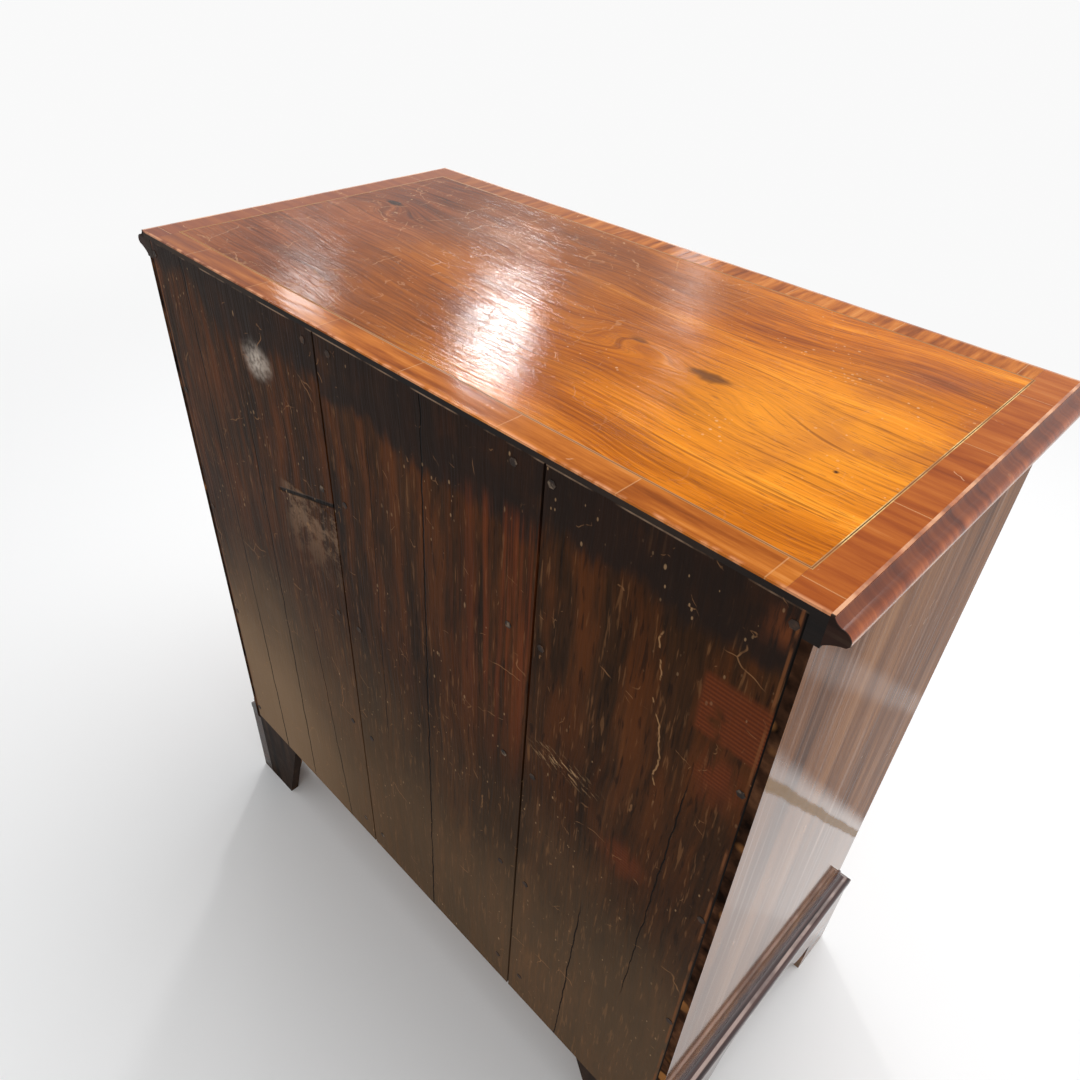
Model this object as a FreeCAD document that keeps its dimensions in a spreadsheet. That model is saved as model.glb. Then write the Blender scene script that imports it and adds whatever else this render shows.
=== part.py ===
"""A bachelor's chest: a small, shallow chest of four graduated long drawers on bracket feet.

Millimetres, +Z up, the drawers open towards -Y, the rough back boards face +Y. The origin is on the floor, under
the middle of the whole chest. Left is -X and right is +X, as seen from the front.
"""
import FreeCAD, Part
import math
import os

import Sketcher

DRIVING_SIZES = [
    # overall
    ("total_height", 780, "floor to the face of the top"),
    ("top_width", 699, "flat of the top, end to end, without its moulding"),
    ("top_depth", 361, "flat of the top, front to back, without its moulding"),
    ("side_overhang", 3.2, "top board beyond each case side"),
    ("front_overhang", 11, "top board beyond the case front"),
    # top
    ("top_thick", 23, "top board with its veneer"),
    ("veneer", 1.5, "hand-sawn veneer of the top"),
    ("band_width", 23, "cross-grain banding round the top"),
    ("string_width", 2, "inlaid string inside the banding"),
    ("lip_thick", 5.8, "lip of the top over the back boards"),
    # top moulding, measured out from the edge of the top board and down from its face
    ("nose_out", 13.6, "reach of the top moulding's nose"),
    ("fillet_out", 2.2, "width of the fillet beside the flat"),
    ("fillet_drop", 1.2, "step below that fillet"),
    ("hollow_out", 7.0, "where the hollow meets the nose, outwards"),
    ("hollow_drop", 5.3, "where the hollow meets the nose, downwards"),
    ("nose_drop", 10.2, "top of the nose's edge below the flat"),
    ("nose_edge", 2.2, "upright edge of the nose"),
    ("under_in", 1.6, "how far the underside starts inside the nose"),
    ("under_drop", 14.4, "start of the underside below the flat"),
    ("hollow_radius", 8, "radius of the hollow"),
    ("nose_radius", 7, "radius of the nose"),
    ("under_radius", 26, "radius of the underside"),
    # case
    ("side_thick", 18, "case sides"),
    ("housing_deep", 6, "housings in the case sides"),
    ("rebate_strip", 6.5, "edge of a case side that shows beside the back boards"),
    ("bottom_thick", 16, "case bottom board"),
    ("bottom_rise", 2, "case bottom above the base moulding"),
    ("base_rail_thick", 20, "rail behind the front base moulding"),
    ("rail_thick", 12, "top rail"),
    ("divider_thick", 14, "drawer dividers"),
    ("divider_depth", 60, "dividers and top rail, front to back"),
    ("dust_thick", 9, "dust boards"),
    # back boards
    ("board_thick", 11, "back boards"),
    ("board_gap", 2.2, "open joints between the back boards"),
    ("joint_a_top", 81, "upper end of the right-hand joint, from the middle"),
    ("joint_a_foot", 79, "lower end of the right-hand joint, from the middle"),
    ("joint_b_top", -162, "upper end of the left-hand joint, from the middle"),
    ("joint_b_foot", -152, "lower end of the left-hand joint, from the middle"),
    ("back_low", 95, "lower end of the back boards above the floor at the left edge"),
    ("back_high", 125, "lower end of the back boards above the floor at the right edge"),
    # nails
    ("nail_head", 3.4, "corner radius of a nail's head"),
    ("nail_proud", 0.4, "nail head above the board"),
    ("nail_head_thick", 1.6, "thickness of a nail's head"),
    ("nail_shank", 2.2, "square shank of a nail"),
    ("nail_length", 30, "length of a nail"),
    ("nail_inset", 5.5, "outer nails in from the edge of the back"),
    # base moulding, measured out from the case and up from its lower edge
    ("foot_height", 117, "underside of the base moulding above the floor"),
    ("base_height", 33, "height of the base moulding"),
    ("base_out", 13.6, "reach of the base moulding"),
    ("plinth_rise", 7, "lower step of the base moulding"),
    ("band_rise", 12.5, "upper edge of the upright band"),
    ("round_in", 8.4, "inner end of the round member, from the case"),
    ("round_rise", 19, "upper end of the round member"),
    ("quirk", 1.5, "small steps between members"),
    ("cove_rise", 31.5, "upper end of the cove"),
    ("cove_in", 1.5, "upper end of the cove, from the case"),
    ("round_radius", 7, "radius of the round member"),
    ("cove_radius", 13, "radius of the cove"),
    # feet
    ("foot_out", 12, "face of the brackets beyond the case"),
    ("foot_width", 58, "bracket's width on the floor"),
    ("foot_lean", 5, "how far the bracket's inner edge leans in at the cusp"),
    ("cusp_rise", 48, "height of the cusp"),
    ("ear_mid", 104, "middle of the curved ear, from the corner"),
    ("ear_mid_rise", 78, "middle of the curved ear above the floor"),
    ("ear_length", 148, "length of the ear, from the corner"),
    ("ear_rise", 106, "lower end of the ear's tip above the floor"),
    ("ear_round", 46, "radius of the ear's curves"),
    ("rear_floor", 291, "inner edge of a rear bracket on the floor, from the middle"),
    ("rear_top", 253, "inner edge of a rear bracket at its top, from the middle"),
    ("block_side", 28, "side of the glue blocks"),
    ("block_chamfer", 9, "chamfer of the glue blocks"),
    ("block_rise", 8, "glue blocks above the floor"),
    # drawers
    ("drawer_step", 14.5, "each drawer is deeper than the one above it by this"),
    ("drawer_clear", 1, "gap beside and above a drawer front"),
    ("drawer_lift", 0.6, "gap below a drawer front"),
    ("drawer_length", 328, "drawer, front to back"),
    ("front_thick", 20, "drawer fronts"),
    ("lap", 6, "wood left in front of the front dovetails"),
    ("drawer_side_thick", 10, "drawer sides"),
    ("drawer_side_drop", 4, "drawer sides below the opening's top"),
    ("drawer_back_thick", 10, "drawer backs"),
    ("drawer_back_drop", 5, "drawer backs below the sides"),
    ("panel_thick", 6, "drawer bottoms"),
    ("panel_rise", 9, "drawer bottoms above the runners"),
    ("groove_deep", 4, "grooves for the drawer bottoms"),
    ("groove_slack", 0.5, "drawer bottoms short of the ends of their grooves"),
    ("tail_root", 15, "narrow width of a dovetail"),
    ("tail_flare", 2.6, "how much a dovetail widens on each edge"),
    ("bead_thick", 3.2, "cock bead"),
    ("bead_proud", 2, "cock bead in front of the drawer front"),
    ("bead_round", 1.3, "rounding of the cock bead"),
    ("stop_width", 30, "drawer stops, along the divider"),
    ("stop_length", 22, "drawer stops, front to back"),
    ("stop_thick", 6, "drawer stops"),
    ("stop_offset", 190, "drawer stops from the middle"),
    ("stop_slack", 0.3, "drawer stops behind the drawer front"),
    # handles
    ("handle_offset", 188, "middle of a handle from the middle of the chest"),
    ("handle_lift", 5, "handle's posts above the middle of the drawer front"),
    ("plate_thick", 1.6, "back plates and escutcheons"),
    ("plate_half_width", 46, "back plates, from the middle to an end"),
    ("plate_half_height", 28, "back plates, from the posts' level to the top tip"),
    ("escutcheon_half_width", 24, "escutcheons, from the middle to an end"),
    ("escutcheon_half_height", 20, "escutcheons, from the middle to the top tip"),
    ("escutcheon_drop", 2, "escutcheon's middle below the keyhole's middle"),
    ("post_inset", 14, "posts in from the ends of their back plate"),
    ("shank", 4.6, "side of a post's square shank"),
    ("shank_hole", 5, "side of the square holes for the shanks"),
    # posts, bails and grips are filed to eight sides, so their radii are from the middle to a side
    ("collar_radius", 4.5, "radius of a post's collar, on the plate"),
    ("collar_thick", 1.5, "thickness of the collar"),
    ("collar_bevel", 0.8, "bevel of the collar"),
    ("neck_radius", 2.6, "radius of a post's neck"),
    ("knob_radius", 6, "radius of a post's knob"),
    ("knob_reach", 8, "middle of the knob in front of the plate"),
    ("knob_half", 5.2, "half the length of the knob"),
    ("knob_bevel_length", 2.6, "bevels at both ends of the knob, along it"),
    ("knob_bevel_depth", 2.8, "bevels at both ends of the knob, inwards"),
    ("nut_side", 11, "side of a post's square nut"),
    ("nut_thick", 3, "thickness of a post's nut"),
    ("pin_radius", 2, "radius of a bail's pins"),
    ("pin_hole", 2.1, "radius of the holes in the knobs for the pins"),
    ("pin_inside", 4, "how far a bail's pin reaches past the middle of its knob"),
    ("pin_slack", 0.5, "hole deeper than the pin, and the bail's shoulder clear of the knob"),
    ("bail_radius", 2, "radius of the bail"),
    ("bail_bend", 5, "radius of the bail's upper bends"),
    ("bail_drop", 27, "bottom of the bail below its pivots"),
    ("bail_corner", 14, "radius of the bail's lower corners"),
    ("grip_radius", 3.4, "radius of the swelling in the middle of the grip"),
    ("grip_half", 16, "half the length of that swelling"),
    ("grip_bevel_length", 12, "slopes at both ends of the swelling, along it"),
    ("grip_bevel_depth", 1, "slopes at both ends of the swelling, inwards"),
    # locks
    ("lock_width", 52, "lock, side to side"),
    ("lock_height", 40, "lock, top to bottom"),
    ("lock_thick", 10, "lock, front to back"),
    ("lock_drop", 6, "top of the lock below the top of the drawer front"),
    ("key_radius", 2.6, "round part of the keyhole"),
    ("key_slot", 2.4, "width of the keyhole's slot"),
    ("key_length", 9, "foot of the slot below the round part's middle"),
    ("key_drop", 19, "middle of the keyhole below the top of the lock"),
]

DRAWERS = 4
TAILS = 3

# Right half of the back plates' outline, from the bottom tip to the top one, as shares of the plate's half width
# and half height. A third number is the radius of the arc that arrives, as a share of its chord: positive for a lobe
# and negative for a scallop.
PLATE_OUTLINE = [
    (0, -1.0), (0.46, -0.74, -1.3), (1.0, -0.24, 0.95), (0.76, 0.46, -1.2), (0.4, 0.42, 0.95), (0.2, 0.78, -1.1),
    (0, 1.0, 1.1),
]

doc = FreeCAD.newDocument("BachelorsChest")
sheet = doc.addObject("Spreadsheet::Sheet", "Sizes")
nodes = []


class Size:
    """A length that keeps its number and where it comes from: a sum of sheet cells, each with its share."""

    def __init__(self, value, shares):
        self.value = float(value)
        self.shares = shares

    @staticmethod
    def of(thing):
        if isinstance(thing, Size):
            return thing
        return Size(thing, {"": float(thing)})

    @property
    def text(self):
        """The expression for the sheet's cells, flat and without nested brackets."""
        parts = []
        for name, share in self.shares.items():
            sign = "-" if share < 0 else "+"
            parts.append(f"{sign} {abs(share)!r} * {name}" if name else f"{sign} {abs(share)!r}")
        return "0 " + " ".join(parts)

    @property
    def depends(self):
        return any(name for name in self.shares)

    def __add__(self, other):
        other = Size.of(other)
        shares = dict(self.shares)
        for name, share in other.shares.items():
            shares[name] = shares.get(name, 0.0) + share
        return Size(self.value + other.value, {name: share for name, share in shares.items() if share})

    def __mul__(self, other):
        other = Size.of(other)
        shares = {}
        for first, a in self.shares.items():
            for second, b in other.shares.items():
                name = " * ".join(filter(None, (first, second)))
                shares[name] = shares.get(name, 0.0) + a * b
        return Size(self.value * other.value, shares)

    def __truediv__(self, other):
        other = Size.of(other)
        if not other.depends:
            return self * (1 / other.value)
        return Size(self.value / other.value, {f"({self.text}) / ({other.text})": 1.0})

    def __neg__(self):
        return self * -1

    def __sub__(self, other):
        return self + -Size.of(other)

    def __rsub__(self, other):
        return Size.of(other) - self

    __radd__ = __add__
    __rmul__ = __mul__

    def root(self):
        return Size(math.sqrt(self.value), {f"sqrt({self.text})": 1.0})


class Sizes:
    """The driving dimensions, each a cell of the sheet with its own alias."""

    def __init__(self, table):
        for row, (name, value, meaning) in enumerate(table, start=1):
            sheet.set(f"A{row}", meaning)
            sheet.set(f"B{row}", str(value))
            sheet.setAlias(f"B{row}", name)
            setattr(self, name, Size(value, {f"Sizes.{name}": 1.0}))


d = Sizes(DRIVING_SIZES)
doc.recompute()

# Planes and levels that several pieces share
half_top = d.top_width / 2
half_case = half_top - d.side_overhang
half_open = half_case - d.side_thick
half_back = half_case - d.rebate_strip
back_y = (d.top_depth + d.nose_out - d.nail_proud) / 2
top_front_y = back_y - d.top_depth
front_y = top_front_y + d.front_overhang
inner_back_y = back_y - d.board_thick
case_top = d.total_height - d.top_thick
base_top = d.foot_height + d.base_height
floor_of_case = base_top + d.bottom_rise
opening_top = case_top - d.rail_thick
half_housed = half_open + d.housing_deep
bracket_thick = d.foot_out + d.rebate_strip
half_drawer = half_open - d.drawer_clear
half_posts = d.plate_half_width - d.post_inset


def back_foot(across):
    """Height of the back boards' lower end, which runs out of level, at a distance from the middle."""
    slope = (d.back_high - d.back_low) / (half_back * 2)
    return d.back_low + slope * (half_back + across)


# ---- making features ----

def ordered(a, b):
    """Two levels, the lower one first."""
    a, b = Size.of(a), Size.of(b)
    return (a, b) if a.value <= b.value else (b, a)


def bind(sketch, rules):
    """Adds constraints in one go. Each rule is (constraint, the length that drives it or None)."""
    indexes = sketch.addConstraint([constraint for constraint, _ in rules])
    for index, (_, length) in zip(indexes, rules):
        if length is not None and length.depends:
            sketch.setExpression(f"Constraints[{index}]", length.text)


def pin_point(geometry, point, corner):
    """Rules that hold a point at its place."""
    return [(Sketcher.Constraint(f"Distance{axis}", -1, 1, geometry, point, length.value), length)
            for axis, length in zip("XY", corner)]


def arc_between(start, end, radius):
    """An arc that turns left for a positive radius and right for a negative one, less than half a turn."""
    across, up = end[0] - start[0], end[1] - start[1]
    chord = math.hypot(across, up)
    away = math.sqrt(max(radius * radius - chord * chord / 4, 0.0)) * math.copysign(1, radius)
    middle_x = (start[0] + end[0]) / 2 - up / chord * away
    middle_y = (start[1] + end[1]) / 2 + across / chord * away
    circle = Part.Circle(FreeCAD.Vector(middle_x, middle_y, 0), FreeCAD.Vector(0, 0, 1), abs(radius))
    first, last = (start, end) if radius > 0 else (end, start)
    angles = [math.atan2(point[1] - middle_y, point[0] - middle_x) for point in (first, last)]
    return Part.ArcOfCircle(circle, angles[0], angles[1])


def trace(sketch, corners, closed=True):
    """Draws an outline. A corner is (across, up), or (across, up, radius) where an arc arrives at it."""
    corners = [tuple(Size.of(part) for part in corner) for corner in corners]
    places = [(corner[0].value, corner[1].value) for corner in corners]
    first = 0 if closed else 1
    shapes, radii = [], []
    for i in range(first, len(corners)):
        radius = corners[i][2] if len(corners[i]) > 2 else None
        radii.append(radius)
        if radius is None:
            shapes.append(Part.LineSegment(FreeCAD.Vector(*places[i - 1], 0), FreeCAD.Vector(*places[i], 0)))
        else:
            shapes.append(arc_between(places[i - 1], places[i], radius.value))
    ids = sketch.addGeometry(shapes, False)
    backward = [radius is not None and radius.value < 0 for radius in radii]
    starts = [(geometry, 2 if back else 1) for geometry, back in zip(ids, backward)]
    ends = [(geometry, 1 if back else 2) for geometry, back in zip(ids, backward)]
    rules = []
    for i, end in enumerate(ends):
        rules += pin_point(*end, corners[i + first])
        if closed or i + 1 < len(ends):
            rules.append((Sketcher.Constraint("Coincident", *end, *starts[(i + 1) % len(ends)]), None))
        if radii[i] is not None:
            length = -radii[i] if backward[i] else radii[i]
            rules.append((Sketcher.Constraint("Radius", ids[i], length.value), length))
    if not closed:
        rules += pin_point(*starts[0], corners[0])
    bind(sketch, rules)


def ring(sketch, across, up, radius):
    """Draws a circle."""
    across, up, radius = Size.of(across), Size.of(up), Size.of(radius)
    circle = Part.Circle(FreeCAD.Vector(across.value, up.value, 0), FreeCAD.Vector(0, 0, 1), radius.value)
    geometry = sketch.addGeometry(circle, False)
    bind(sketch, pin_point(geometry, 3, (across, up))
         + [(Sketcher.Constraint("Radius", geometry, radius.value), radius)])


def new_body(label):
    body = doc.addObject("PartDesign::Body", label)
    body.Label = label
    return body


def sketch_on(body, role, level=0):
    """A sketch parallel to one of the body's own origin planes, at a level along that plane's normal."""
    sketch = body.newObject("Sketcher::SketchObject", f"{body.Name}_Sketch")
    plane = [feature for feature in body.Origin.OriginFeatures if feature.Role == role][0]
    sketch.AttachmentSupport = (plane, [""])
    sketch.MapMode = "FlatFace"
    sketch.setExpression("AttachmentOffset.Base.z", Size.of(level).text)
    return sketch


def between(body, kind, role, low, high):
    """A sketch and its Pad or Pocket, which fills or clears the space between two levels."""
    low, high = ordered(low, high)
    level = -high if role == "XZ_Plane" else low
    sketch = sketch_on(body, role, level)
    feature = body.newObject(f"PartDesign::{kind}", f"{body.Name}_{kind}")
    feature.Profile = sketch
    feature.setExpression("Length", (high - low).text)
    feature.Reversed = kind == "Pocket"
    return sketch


def pad(body, role, corners, low, high):
    trace(between(body, "Pad", role, low, high), corners)


def pocket(body, role, corners, low, high):
    trace(between(body, "Pocket", role, low, high), corners)


def rectangle(low_across, high_across, low_up, high_up):
    return [(low_across, low_up), (high_across, low_up), (high_across, high_up), (low_across, high_up)]


def square(across, up, side):
    """A square round a middle."""
    return rectangle(across - side / 2, across + side / 2, up - side / 2, up + side / 2)


def octagon(radius, up=0):
    """Eight sides round a middle. The radius is from the middle to a side."""
    half = radius * (math.sqrt(2) - 1)
    sides = [(radius, half), (half, radius), (-half, radius), (-radius, half), (-radius, -half), (-half, -radius),
             (half, -radius), (radius, -half)]
    return [(x, up + y) for x, y in sides]


def picked(feature, wanted):
    """A feature with the names of its edges that a test picks."""
    return feature, [f"Edge{i}" for i, edge in enumerate(feature.Shape.Edges, start=1) if wanted(edge)]


def round_edges(body, radius, wanted):
    """A fillet on the edges of the body's last feature that the test picks."""
    doc.recompute()
    base = picked(body.Tip, wanted)
    feature = body.newObject("PartDesign::Fillet", f"{body.Name}_Fillet")
    feature.Base = base
    feature.setExpression("Radius", radius.text)


def bevel_ends(body, axis, levels, length, depth):
    """Bevels all edges that lie across an axis at the given levels: a length along the sides, a depth inwards."""
    doc.recompute()
    places = [Size.of(level).value for level in levels]
    on_end = lambda edge: any(all(abs(getattr(vertex, axis) - place) < 0.001 for vertex in edge.Vertexes)
                              for place in places)
    base = picked(body.Tip, on_end)
    feature = body.newObject("PartDesign::Chamfer", f"{body.Name}_Chamfer")
    feature.Base = base
    feature.ChamferType = "Two distances"
    feature.setExpression("Size", length.text)
    feature.setExpression("Size2", depth.text)
    doc.recompute()


def block(label, low, high):
    """A plain board or block between two corners."""
    box = doc.addObject("Part::Box", label)
    box.Label = label
    for side, axis, a, b in zip(("Length", "Width", "Height"), "xyz", low, high):
        a, b = ordered(a, b)
        box.setExpression(side, (b - a).text)
        box.setExpression(f"Placement.Base.{axis}", a.text)
    return box


def group(label, members):
    """One node that holds several separate solids."""
    compound = doc.addObject("Part::Compound", label)
    compound.Label = label
    compound.Links = members
    return compound


def place(thing, across, depth, up=0, turn=0):
    """Puts a piece at a point, turned about the upright axis by whole degrees."""
    thing.Placement = FreeCAD.Placement(FreeCAD.Vector(0, 0, 0), FreeCAD.Rotation(FreeCAD.Vector(0, 0, 1), turn))
    for axis, value in zip("xyz", (across, depth, up)):
        thing.setExpression(f"Placement.Base.{axis}", Size.of(value).text)


def node(name, thing):
    """Marks a finished piece: its label is its node's name."""
    thing.Label = name
    nodes.append(thing)
    return thing


# ---- mouldings that run round the front and both ends ----

LEFT_TURN, FRONT_TURN, RIGHT_TURN = -90, 0, 90


def cut_mitre(body, corner, hand, reach, inside, low, high):
    """Cuts a 45 degree mitre through a run along X at a corner of the case. The hand is 1 where the run ends there
    and -1 where it starts. The case lies on the +Y side."""
    outer = corner + hand * (reach + 1)
    corners = [(corner - hand * inside, inside), (outer, -(reach + 1)), (outer, inside)]
    pocket(body, "XY_Plane", corners, low, high)


def moulding(name, profile, reach, top, low, run, mitres, spot, turn):
    """One length of moulding. The profile is (outwards, up), the run goes along X in the piece's own frame and
    each mitre is (where, hand)."""
    body = new_body(name)
    start, end = ordered(*run)
    hands = [hand for _, hand in mitres]
    start = start - reach if -1 in hands else start
    end = end + reach if 1 in hands else end
    outline = [(-Size.of(out), *rest) for out, *rest in profile]
    pad(body, "YZ_Plane", outline, start, end)
    for where, hand in mitres:
        cut_mitre(body, where, hand, reach, Size.of(1), low, top)
    place(body, *spot, turn=turn)
    return node(name, body)


def top_moulding_profile():
    """Fillet, hollow, rounded nose and undercut. The outline starts at the underside, against the board's edge."""
    top = d.total_height
    return [
        (0, case_top + 2),
        (d.nose_out - d.under_in, top - d.under_drop, d.under_radius),
        (d.nose_out, top - d.nose_drop - d.nose_edge),
        (d.nose_out, top - d.nose_drop),
        (d.hollow_out, top - d.hollow_drop, -d.nose_radius),
        (d.fillet_out, top - d.fillet_drop - d.fillet_drop / 4, d.hollow_radius),
        (d.fillet_out, top),
        (0, top),
    ]


def base_moulding_profile():
    """Plinth step, upright band, round member, quirk and cove."""
    foot = d.foot_height
    return [
        (0, foot),
        (d.foot_out, foot),
        (d.foot_out, foot + d.plinth_rise),
        (d.base_out, foot + d.plinth_rise),
        (d.base_out, foot + d.band_rise),
        (d.round_in, foot + d.round_rise, -d.round_radius),
        (d.round_in - d.quirk, foot + d.round_rise),
        (d.round_in - d.quirk, foot + d.round_rise + d.quirk),
        (d.cove_in, foot + d.cove_rise, d.cove_radius),
        (d.cove_in, base_top),
        (0, base_top),
    ]


def run_round(name, profile, reach, low, top, half, front, length):
    """Front length and both ends of a moulding that wraps a board or a case."""
    moulding(f"{name}_front", profile, reach, top, low, (-half, half), [(-half, -1), (half, 1)], (0, front),
             FRONT_TURN)
    moulding(f"{name}_left", profile, reach, top, low, (-length, 0), [(Size.of(0), 1)], (-half, front), LEFT_TURN)
    moulding(f"{name}_right", profile, reach, top, low, (0, length), [(Size.of(0), -1)], (half, front), RIGHT_TURN)


# ---- the top ----

def make_top():
    under_veneer = d.total_height - d.veneer
    board = new_body("top_board")
    pad(board, "XY_Plane", rectangle(-half_top, half_top, top_front_y, back_y), case_top, under_veneer)
    pocket(board, "XZ_Plane", rectangle(-half_back, half_back, case_top, d.total_height - d.lip_thick),
           inner_back_y, back_y)
    node("top_board", board)

    band_x = half_top - d.band_width
    band_front, band_back = top_front_y + d.band_width, back_y - d.band_width
    low, high = under_veneer, d.total_height
    bands = [
        block("band_left", (-half_top, top_front_y, low), (-band_x, back_y, high)),
        block("band_right", (band_x, top_front_y, low), (half_top, back_y, high)),
        block("band_front", (-band_x, top_front_y, low), (band_x, band_front, high)),
        block("band_back", (-band_x, band_back, low), (band_x, back_y, high)),
    ]
    node("top_crossbanding", group("top_crossbanding", bands))

    field_x = band_x - d.string_width
    field_front, field_back = band_front + d.string_width, band_back - d.string_width
    strings = [
        block("string_left", (-band_x, band_front, low), (-field_x, band_back, high)),
        block("string_right", (field_x, band_front, low), (band_x, band_back, high)),
        block("string_front", (-field_x, band_front, low), (field_x, field_front, high)),
        block("string_back", (-field_x, field_back, low), (field_x, band_back, high)),
    ]
    node("top_stringing", group("top_stringing", strings))
    node("top_field", block("top_field", (-field_x, field_front, low), (field_x, field_back, high)))

    run_round("top_moulding", top_moulding_profile(), d.nose_out, case_top - 1, d.total_height + 1, half_top,
              top_front_y, d.top_depth)


# ---- the case ----

def drawer_openings():
    """(low, high) of each drawer's opening, from the top one down. Each is deeper than the one above by a step."""
    dividers = d.divider_thick * (DRAWERS - 1)
    steps = d.drawer_step * (DRAWERS * (DRAWERS - 1) / 2)
    first = (opening_top - floor_of_case - dividers - steps) / DRAWERS
    openings = []
    high = opening_top
    for i in range(DRAWERS):
        low = high - (first + d.drawer_step * i)
        openings.append((low, high))
        high = low - d.divider_thick
    return openings


OPENINGS = drawer_openings()
DIVIDER_TOPS = [low for low, _ in OPENINGS[:-1]]


def make_side(name, hand):
    """A case side: rebated for the back boards and housed for everything that it carries."""
    body = new_body(name)
    inner, outer = hand * half_open, hand * half_case
    pad(body, "YZ_Plane", rectangle(front_y, back_y, d.foot_height, case_top), inner, outer)
    pocket(body, "YZ_Plane", rectangle(inner_back_y, back_y + 1, d.foot_height - 1, case_top + 1), inner,
           hand * half_back)
    floor = hand * half_housed
    divider_back = front_y + d.divider_depth
    pocket(body, "YZ_Plane", rectangle(front_y - 1, inner_back_y + 1, floor_of_case - d.bottom_thick,
                                       floor_of_case), inner, floor)
    pocket(body, "YZ_Plane", rectangle(front_y - 1, divider_back, opening_top, case_top + 1), inner, floor)
    for top in DIVIDER_TOPS:
        corners = [
            (front_y - 1, top - d.divider_thick), (divider_back, top - d.divider_thick),
            (divider_back, top - d.dust_thick), (inner_back_y + 1, top - d.dust_thick),
            (inner_back_y + 1, top), (front_y - 1, top),
        ]
        pocket(body, "YZ_Plane", corners, inner, floor)
    node(name, body)


def make_case():
    make_side("side_left", -1)
    make_side("side_right", 1)
    divider_back = front_y + d.divider_depth
    node("bottom_board", block("bottom_board", (-half_housed, front_y, floor_of_case - d.bottom_thick),
                               (half_housed, inner_back_y, floor_of_case)))
    node("base_rail", block("base_rail", (-half_open, front_y, d.foot_height),
                            (half_open, front_y + d.base_rail_thick, floor_of_case - d.bottom_thick)))
    node("top_rail", block("top_rail", (-half_housed, front_y, opening_top), (half_housed, divider_back, case_top)))
    dividers, dust_boards = [], []
    for top in DIVIDER_TOPS:
        dividers.append(block("divider", (-half_housed, front_y, top - d.divider_thick),
                              (half_housed, divider_back, top)))
        dust_boards.append(block("dust_board", (-half_housed, divider_back, top - d.dust_thick),
                                 (half_housed, inner_back_y, top)))
    node("drawer_dividers", group("drawer_dividers", dividers))
    node("dust_boards", group("dust_boards", dust_boards))
    stop_front = front_y + d.front_thick + d.stop_slack
    stops = []
    for low, _ in OPENINGS:
        for hand in (-1, 1):
            middle = hand * d.stop_offset
            stops.append(block("stop", (middle - d.stop_width / 2, stop_front, low),
                               (middle + d.stop_width / 2, stop_front + d.stop_length, low + d.stop_thick)))
    node("drawer_stops", group("drawer_stops", stops))
    run_round("base_moulding", base_moulding_profile(), d.base_out, d.foot_height - 1, base_top + 1, half_case,
              front_y, d.top_depth - d.front_overhang)


# ---- the back ----

def make_back_board(name, left, right):
    """One board. Each edge is (place at the top, place at the foot)."""
    top = d.total_height - d.lip_thick
    corners = [(left[1], back_foot(left[1])), (right[1], back_foot(right[1])), (right[0], top), (left[0], top)]
    body = new_body(name)
    pad(body, "XZ_Plane", corners, inner_back_y, back_y)
    node(name, body)


def nail_places():
    """(across, up) of each nail: rows along the top and the bottom, and down both outer edges."""
    edge = half_back - d.nail_inset
    gap = d.nail_inset * 3
    columns = [-edge, d.joint_b_foot - gap, d.joint_b_foot + gap, d.joint_a_foot - gap, d.joint_a_foot + gap, edge]
    rows = [case_top + d.nail_inset, floor_of_case - d.bottom_thick / 2]
    places = [(across, up) for across in columns for up in rows]
    for top in DIVIDER_TOPS:
        places.extend((across, top - d.dust_thick / 2) for across in columns)
    return places


def make_nail(across, up):
    """A hand-made nail: a six-sided head on a square shank, driven in from the back."""
    head = doc.addObject("Part::Prism", "nail_head")
    head.Polygon = 6
    head.setExpression("Circumradius", d.nail_head.text)
    head.setExpression("Height", d.nail_head_thick.text)
    head.Placement.Rotation = FreeCAD.Rotation(FreeCAD.Vector(1, 0, 0), 90)
    for axis, value in zip("xyz", (across, back_y + d.nail_proud, up)):
        head.setExpression(f"Placement.Base.{axis}", value.text)
    half = d.nail_shank / 2
    shank_back = back_y + d.nail_proud - d.nail_head_thick / 2
    shank = block("nail_shank", (across - half, back_y - d.nail_length, up - half),
                  (across + half, shank_back, up + half))
    nail = doc.addObject("Part::Fuse", "nail")
    nail.Base = head
    nail.Tool = shank
    return nail


def make_back():
    slit = d.board_gap / 2
    joint_a = (d.joint_a_top, d.joint_a_foot)
    joint_b = (d.joint_b_top, d.joint_b_foot)
    before = lambda joint: (joint[0] - slit, joint[1] - slit)
    after = lambda joint: (joint[0] + slit, joint[1] + slit)
    make_back_board("back_board_left", (-half_back, -half_back), before(joint_b))
    make_back_board("back_board_middle", after(joint_b), before(joint_a))
    make_back_board("back_board_right", after(joint_a), (half_back, half_back))
    node("back_nails", group("back_nails", [make_nail(*spot) for spot in nail_places()]))


# ---- the feet ----

def bracket_outline(hand, start):
    """Face of a bracket: an upright edge, a cusp and a double-curved ear under the moulding. The hand is 1 where
    the foot's corner is at the high end of X."""
    def at(along, up, *radius):
        return (start - hand * along, up, *[hand * r for r in radius])
    return [
        at(Size.of(0), 0),
        at(Size.of(0), d.foot_height),
        at(d.ear_length, d.foot_height),
        at(d.ear_length, d.ear_rise),
        at(d.ear_mid, d.ear_mid_rise, -d.ear_round),
        at(d.foot_width + d.foot_lean, d.cusp_rise + d.foot_lean, d.ear_round),
        at(d.foot_width - d.foot_lean, d.cusp_rise),
        at(d.foot_width, 0),
    ]


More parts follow.
